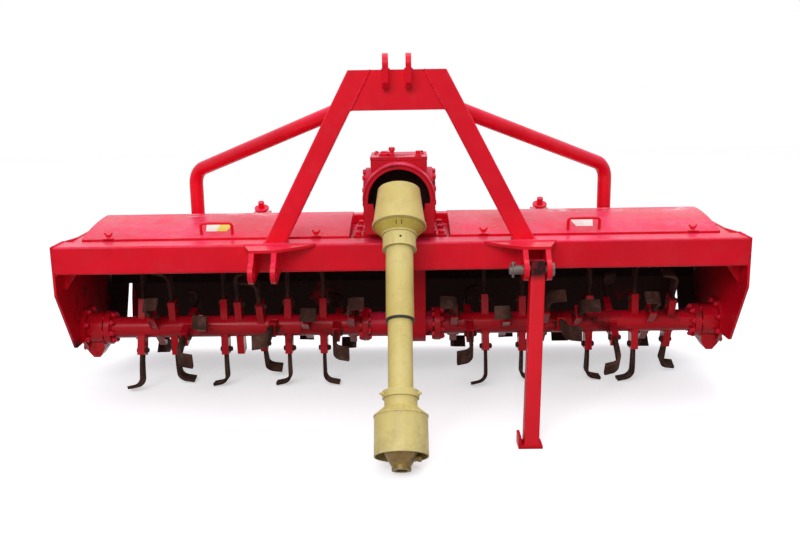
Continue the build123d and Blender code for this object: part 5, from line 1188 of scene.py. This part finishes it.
def labels():
    """Two blank labels behind the cover handles."""
    for name, (start, end, first, second) in LABELS.items():
        handle = middle(name + "_cover_handle")
        start, end, front = handle.x + start, handle.x + end, handle.y + LABEL_BACK
        back = front + LABEL_DEPTH
        film = label_film(name + "_blank_label", first, second, start, end)
        corners = ((start + LABEL_TAPER[0], front), (end - LABEL_TAPER[1], front), (end, back), (start, back))
        surface_patch(name + "_label", name + "_cover", corners, (16, 8), film, name + "_top_cover")


labels()


# ---------------------------------------------------------------- welds on the frame and rotor
LEG_HALF_X = 0.0339
STAY_X = 0.724
STAY_R = 0.0245
HITCH_X = 0.4125
HITCH_LUG_EDGES = (-0.042, -0.026, 0.026, 0.042)
HITCH_LUG_Z = (0.470, 0.538)
FRAME_BEAD = 0.0042
TUBE_BEAD = 0.0040


def mast_welds(side):
    """Lines round a mast leg's foot and down the ends of the cross beam."""
    low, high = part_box("right_mast_leg")
    foot_x = high.x - LEG_HALF_X
    slope = (high.x - low.x - 2 * LEG_HALF_X) / (high.z - low.z)
    x_in, x_out = side * (foot_x - LEG_HALF_X), side * (foot_x + LEG_HALF_X)
    corners = ((x_in, high.y), (x_in, low.y), (x_out, low.y), (x_out, high.y), (x_in, high.y))
    lines = [[(x, y, low.z) for x, y in corners]]
    low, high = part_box("mast_cross_beam")
    top_x = high.x - (high.z - low.z) * slope
    for y in (low.y, high.y):
        lines.append([(side * high.x, y, low.z), (side * top_x, y, high.z)])
    return lines


def hitch_welds(name, side):
    """Lines where the hitch bracket and its lugs meet the beam."""
    y = BEAM_LOW.y - 0.001
    low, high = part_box(name + "_hitch_bracket")
    lines = [[(low.x, y, high.z), (high.x, y, high.z)]]
    for edge in HITCH_LUG_EDGES:
        lines.append([(side * HITCH_X + edge, y, z) for z in HITCH_LUG_Z])
    return lines


def top_link_welds(name):
    """Lines down the front and along the top of the cross beam, at the top link's lug."""
    beam_low, beam_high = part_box("mast_cross_beam")
    low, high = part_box(name + "_top_link_lug")
    lines = []
    for x in (low.x, high.x):
        lines.append([(x, beam_low.y - 0.0005, low.z + 0.004), (x, beam_low.y - 0.0005, beam_high.z)])
        lines.append([(x, y, beam_high.z + 0.0005) for y in (beam_low.y, high.y)])
    return lines


def frame_welds():
    lines = []
    for name, side in SIDES:
        lines += mast_welds(side) + hitch_welds(name, side)
        stay_foot = (side * STAY_X, middle("rear_bar").y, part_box("rear_bar")[1].z)
        ring = circle_points(stay_foot, Z, STAY_R, 28)
        lines.append([*ring, ring[0]])
        lines += top_link_welds(name)
        end_x = side * (BEAM_HIGH.x - 0.001)
        front_y, back_y = BEAM_LOW.y + 0.004, BEAM_HIGH.y
        lines.append([(end_x, front_y, BEAM_LOW.z), (end_x, back_y, BEAM_LOW.z)])
        lines.append([(end_x, back_y, BEAM_HIGH.z), (end_x, front_y, BEAM_HIGH.z)])
    welds("frame_welds", lines, FRAME_BEAD)


def rotor_tube_welds():
    """Rings where the rotor's tubes meet their flanges."""
    rings = []
    for name, side in SIDES:
        inner = nearest_x(name + "_rotor_shaft") + FLANGE_T + 0.001
        outer = nearest_x(name + "_bearing_housing") - FLANGE_T - 0.005
        for reach in (inner, outer):
            ring = circle_points(on_axis(side * reach), X, TUBE_R + 0.0008, 40)
            rings.append([*ring, ring[0]])
    welds("rotor_tube_welds", rings, TUBE_BEAD, "rotor", ROTOR_PAINT)


frame_welds()
rotor_tube_welds()


# ---------------------------------------------------------------- rear board fittings
SPRING_TURNS = 11.0
SPRING_WIRE = 0.0034
ROD_EYE_BACK = 0.042              # rod's eye behind the front of its bracket
SEAL_LOW = 0.036                  # how far the seal hangs below the hinge rod's middle
SEAL_HIGH = 0.026
SEAL_STEPS = 54
SEAL_SAGS = ((0.0012, 1.9), (0.0008, 0.7))     # depth of each wave and its turn a step
SEAL_BAR_H = 0.012
SEAL_SCREW = (0.010, 0.004, 0.0)
TONGUE_REACH = 0.004              # in past the end plate's flange
TONGUE_FOOT_Z = 0.186
FLANGE_Y = 0.30                   # only the end plates' rear flanges lie behind this
BOARD_LEAN = math.radians(24.0)
# along the board from its hinge, and forward of it
CHEEK_CORNERS = ((0.035, -0.001), (0.080, 0.040), (0.150, 0.086), (0.225, 0.100), (0.240, 0.092),
                 (0.250, -0.001))
SHEET_T = 0.003


def spring_coils():
    """Wound springs in place of the plain sleeves on the lift rods."""
    foot = Vector(JOINTS["rod_pivot"]["pos_m"])
    for name, _ in SIDES:
        low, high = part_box(name + "_lift_spring")
        bracket_low, bracket_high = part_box(name + "_rod_bracket")
        eye = Vector((0, bracket_low.y + ROD_EYE_BACK, (bracket_low.z + bracket_high.z) / 2))
        run = (eye - foot) * Vector((0, 1, 1))
        lean = math.atan2(-run.y, run.z)
        run.normalize()
        radius = (high.x - low.x) / 2
        height = (high.z - low.z - 2 * radius * math.sin(lean)) / math.cos(lean) - 2 * SPRING_WIRE
        start_z = low.z + radius * math.sin(lean) + SPRING_WIRE
        start_y = foot.y + run.y * (start_z - foot.z) / run.z
        piece = COIL.grow(
            name + "_spring_coil", point_source(name + "_coil", [(0, 0, 0)]), SPRING, "lift_rods",
            "spring_steel", Turns=SPRING_TURNS, Coil=radius - SPRING_WIRE, Height=height,
            Wire=SPRING_WIRE, Place=((low.x + high.x) / 2, start_y, start_z), Lean=(lean, 0.0, 0.0),
        )
        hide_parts(name + "_lift_spring")


def hinge_seal():
    """Near-black rubber strip in front of the board's hinge, with its bar and screws: a dark sheet put as
    painted shade where the slit under the beam would let light through.
    """
    low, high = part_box("board_hinge_rod")
    hinge_z = (low.z + high.z) / 2
    half_x = BEAM_HIGH.x - 0.004
    bm = bmesh.new()
    run = []
    for step in range(SEAL_STEPS + 1):
        x = -half_x + 2 * half_x * step / SEAL_STEPS
        sag = sum(depth * math.sin(step * turn) for depth, turn in SEAL_SAGS)
        run.append([bm.verts.new(place) for place in (
            (x, low.y - 0.008 + sag, hinge_z - SEAL_LOW + abs(sag)),
            (x, low.y - 0.0065, hinge_z),
            (x, low.y - 0.006, hinge_z + SEAL_HIGH),
        )])
    for before, after in zip(run, run[1:]):
        for row in (0, 1):
            bm.faces.new((before[row], after[row], after[row + 1], before[row + 1]))
    bmesh.ops.solidify(bm, geom=bm.faces[:], thickness=-SHEET_T)
    mesh_piece("hinge_seal", bm, SHADE_DARK_RUBBER, "frame", smooth=True)
    bar_z = hinge_z + SEAL_HIGH - SEAL_BAR_H / 2
    bm = bmesh.new()
    add_box(bm, (2 * half_x - 0.010, SHEET_T, SEAL_BAR_H), (0.0, low.y - 0.0092, bar_z))
    mesh_piece("hinge_seal_bar", bm, DECK_PAINT, "frame")
    spots = [((half_x * (step / 6 - 1) * 0.97, low.y - 0.0107, bar_z), (0, -1, 0)) for step in range(13)]
    fasteners("hinge_seal_screws", spots, SEAL_SCREW, "frame", TINE)


def flange_tongues():
    """Strips that carry each end plate's rear flange down to its foot and in towards the board."""
    bm = bmesh.new()
    for name, side in SIDES:
        rear = [vert.co for vert in NODES[name + "_end_plate"].data.vertices if vert.co.y > FLANGE_Y]
        inner = min(abs(point.x) for point in rear)
        edge = [point for point in rear if abs(point.x) < inner + 0.001]
        top_z, low_z = max(point.z for point in edge), min(point.z for point in edge)
        top = Vector((0, min(point.y for point in edge if point.z > top_z - 0.004), top_z))
        low = Vector((0, min(point.y for point in edge if point.z < low_z + 0.004), low_z))
        run = (low - top).normalized()
        foot = top + run * (top_z - TONGUE_FOOT_Z) / -run.z
        lean = Matrix.Rotation(math.atan2(run.y, -run.z), 4, "X")
        inner_x, outer_x = inner - TONGUE_REACH, BEAM_HIGH.x - 0.001
        place = (top + foot) / 2 + Vector((side * (inner_x + outer_x) / 2, -0.0018, 0))
        add_box(bm, (outer_x - inner_x, SHEET_T, (foot - top).length), place, lean)
    mesh_piece("flange_tongues", bm, TONGUE_PAINT, "frame")


def board_cheeks():
    """Side plates on the ends of the rear board that keep the soil in."""
    hinge = Vector(JOINTS["board_lift"]["pos_m"])
    end_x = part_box("trailing_board")[1].x - 0.0012
    down, forward = math.cos(BOARD_LEAN), math.sin(BOARD_LEAN)
    corners = [(hinge.y + along * forward - out * down, hinge.z - along * down - out * forward)
               for along, out in CHEEK_CORNERS]
    bm = bmesh.new()
    for side in (LEFT, RIGHT):
        add_sheet(bm, corners, side * (end_x - SHEET_T), side * end_x)
    mesh_piece("board_cheeks", bm, TONGUE_PAINT, "rear_board")


spring_coils()
hinge_seal()
flange_tongues()
board_cheeks()


# ---------------------------------------------------------------- stage, light and camera
BACKDROP = 1.0
FLOOR_HALF = 9.0
FLOOR_TONE = (0.80, 0.80, 0.80)
FLOOR_GLOW = 0.48
FLOOR_BOUNCE = (0.16, 0.144, 0.136)
AMBIENT = 0.64
ROOM_TINT = (1.0, 0.97, 1.07)


def seen_or_lit(nodes, seen, lit):
    """Seen where a camera, glossy or transmission ray looks, lit elsewhere."""
    path = nodes.add("ShaderNodeLightPath").outputs
    looks = path["Is Camera Ray"]
    for other in ("Is Glossy Ray", "Is Transmission Ray"):
        looks = nodes.add("ShaderNodeMath", {0: looks, 1: path[other]}, operation="MAXIMUM").outputs[0]
    return nodes.add("ShaderNodeMixShader", {0: looks, 1: lit, 2: seen}).outputs[0]


def make_world():
    world = bpy.data.worlds.new("pale_room")
    bpy.context.scene.world = world
    world.use_nodes = True
    nodes = Nodes(world.node_tree)
    lit = nodes.add("ShaderNodeBackground", {"Color": ROOM_TINT, "Strength": AMBIENT}).outputs[0]
    seen = nodes.add("ShaderNodeBackground", {"Color": (1.0, 1.0, 1.0), "Strength": BACKDROP}).outputs[0]
    nodes.add("ShaderNodeOutputWorld", {"Surface": seen_or_lit(nodes, seen, lit)})


def make_floor():
    bm = bmesh.new()
    bmesh.ops.create_grid(bm, x_segments=1, y_segments=1, size=FLOOR_HALF)
    bmesh.ops.translate(bm, verts=bm.verts, vec=(0, 0, -0.0006))
    mesh = bpy.data.meshes.new("floor")
    bm.to_mesh(mesh)
    bm.free()
    floor = add_object("floor", mesh)
    material = bpy.data.materials.new("pale_floor")
    material.use_nodes = True
    nodes = Nodes(material.node_tree)
    lit = nodes.add("ShaderNodeBsdfDiffuse", {"Color": FLOOR_BOUNCE}).outputs[0]
    pale = nodes.add("ShaderNodeBsdfDiffuse", {"Color": FLOOR_TONE}).outputs[0]
    glow = nodes.add("ShaderNodeEmission", {"Strength": FLOOR_GLOW}).outputs[0]
    seen = nodes.add("ShaderNodeAddShader", {0: pale, 1: glow}).outputs[0]
    nodes.add("ShaderNodeOutputMaterial", {"Surface": seen_or_lit(nodes, seen, lit)})
    mesh.materials.append(material)


def make_lamp(name, place, target, size, power):
    data = bpy.data.lights.new(name, "AREA")
    data.shape = "RECTANGLE"
    data.size, data.size_y = size
    data.energy = power
    lamp = add_object(name, data)
    lamp.location = place
    lamp.rotation_euler = (Vector(target) - Vector(place)).to_track_quat("-Z", "Y").to_euler()


CAMERA_SIDE = 0.028
CAMERA_BACK = 2.828               # in front of the beam
CAMERA_HEIGHT = 1.093
CAMERA_TURN = math.radians(0.6)
CAMERA_PITCH = math.radians(12.36)
CAMERA_ROLL = math.radians(-0.93)
LENS = 41.8
SENSOR = 36.0
SHIFT_X = 0.000625


def make_camera():
    data = bpy.data.cameras.new("camera")
    data.lens = LENS
    data.sensor_width = SENSOR
    data.shift_x = SHIFT_X
    data.clip_start = 0.05
    camera = add_object("camera", data)
    place = Matrix.Translation((CAMERA_SIDE, BEAM_LOW.y - CAMERA_BACK, CAMERA_HEIGHT))
    tilt = Matrix.Rotation(math.pi / 2 - CAMERA_PITCH, 4, "X")
    camera.matrix_world = (
        place @ Matrix.Rotation(CAMERA_TURN, 4, "Z") @ tilt @ Matrix.Rotation(CAMERA_ROLL, 4, "Z")
    )
    bpy.context.scene.camera = camera


make_world()
make_floor()
make_lamp("front_light", (-1.2, -4.2, 3.4), (0, 0, 0.5), (3.2, 2.0), 120.0)
make_lamp("top_light", (0.8, 0.6, 4.0), (0, 0.1, 0.4), (3.5, 2.5), 55.0)
make_camera()
bpy.context.scene.view_settings.view_transform = "Standard"
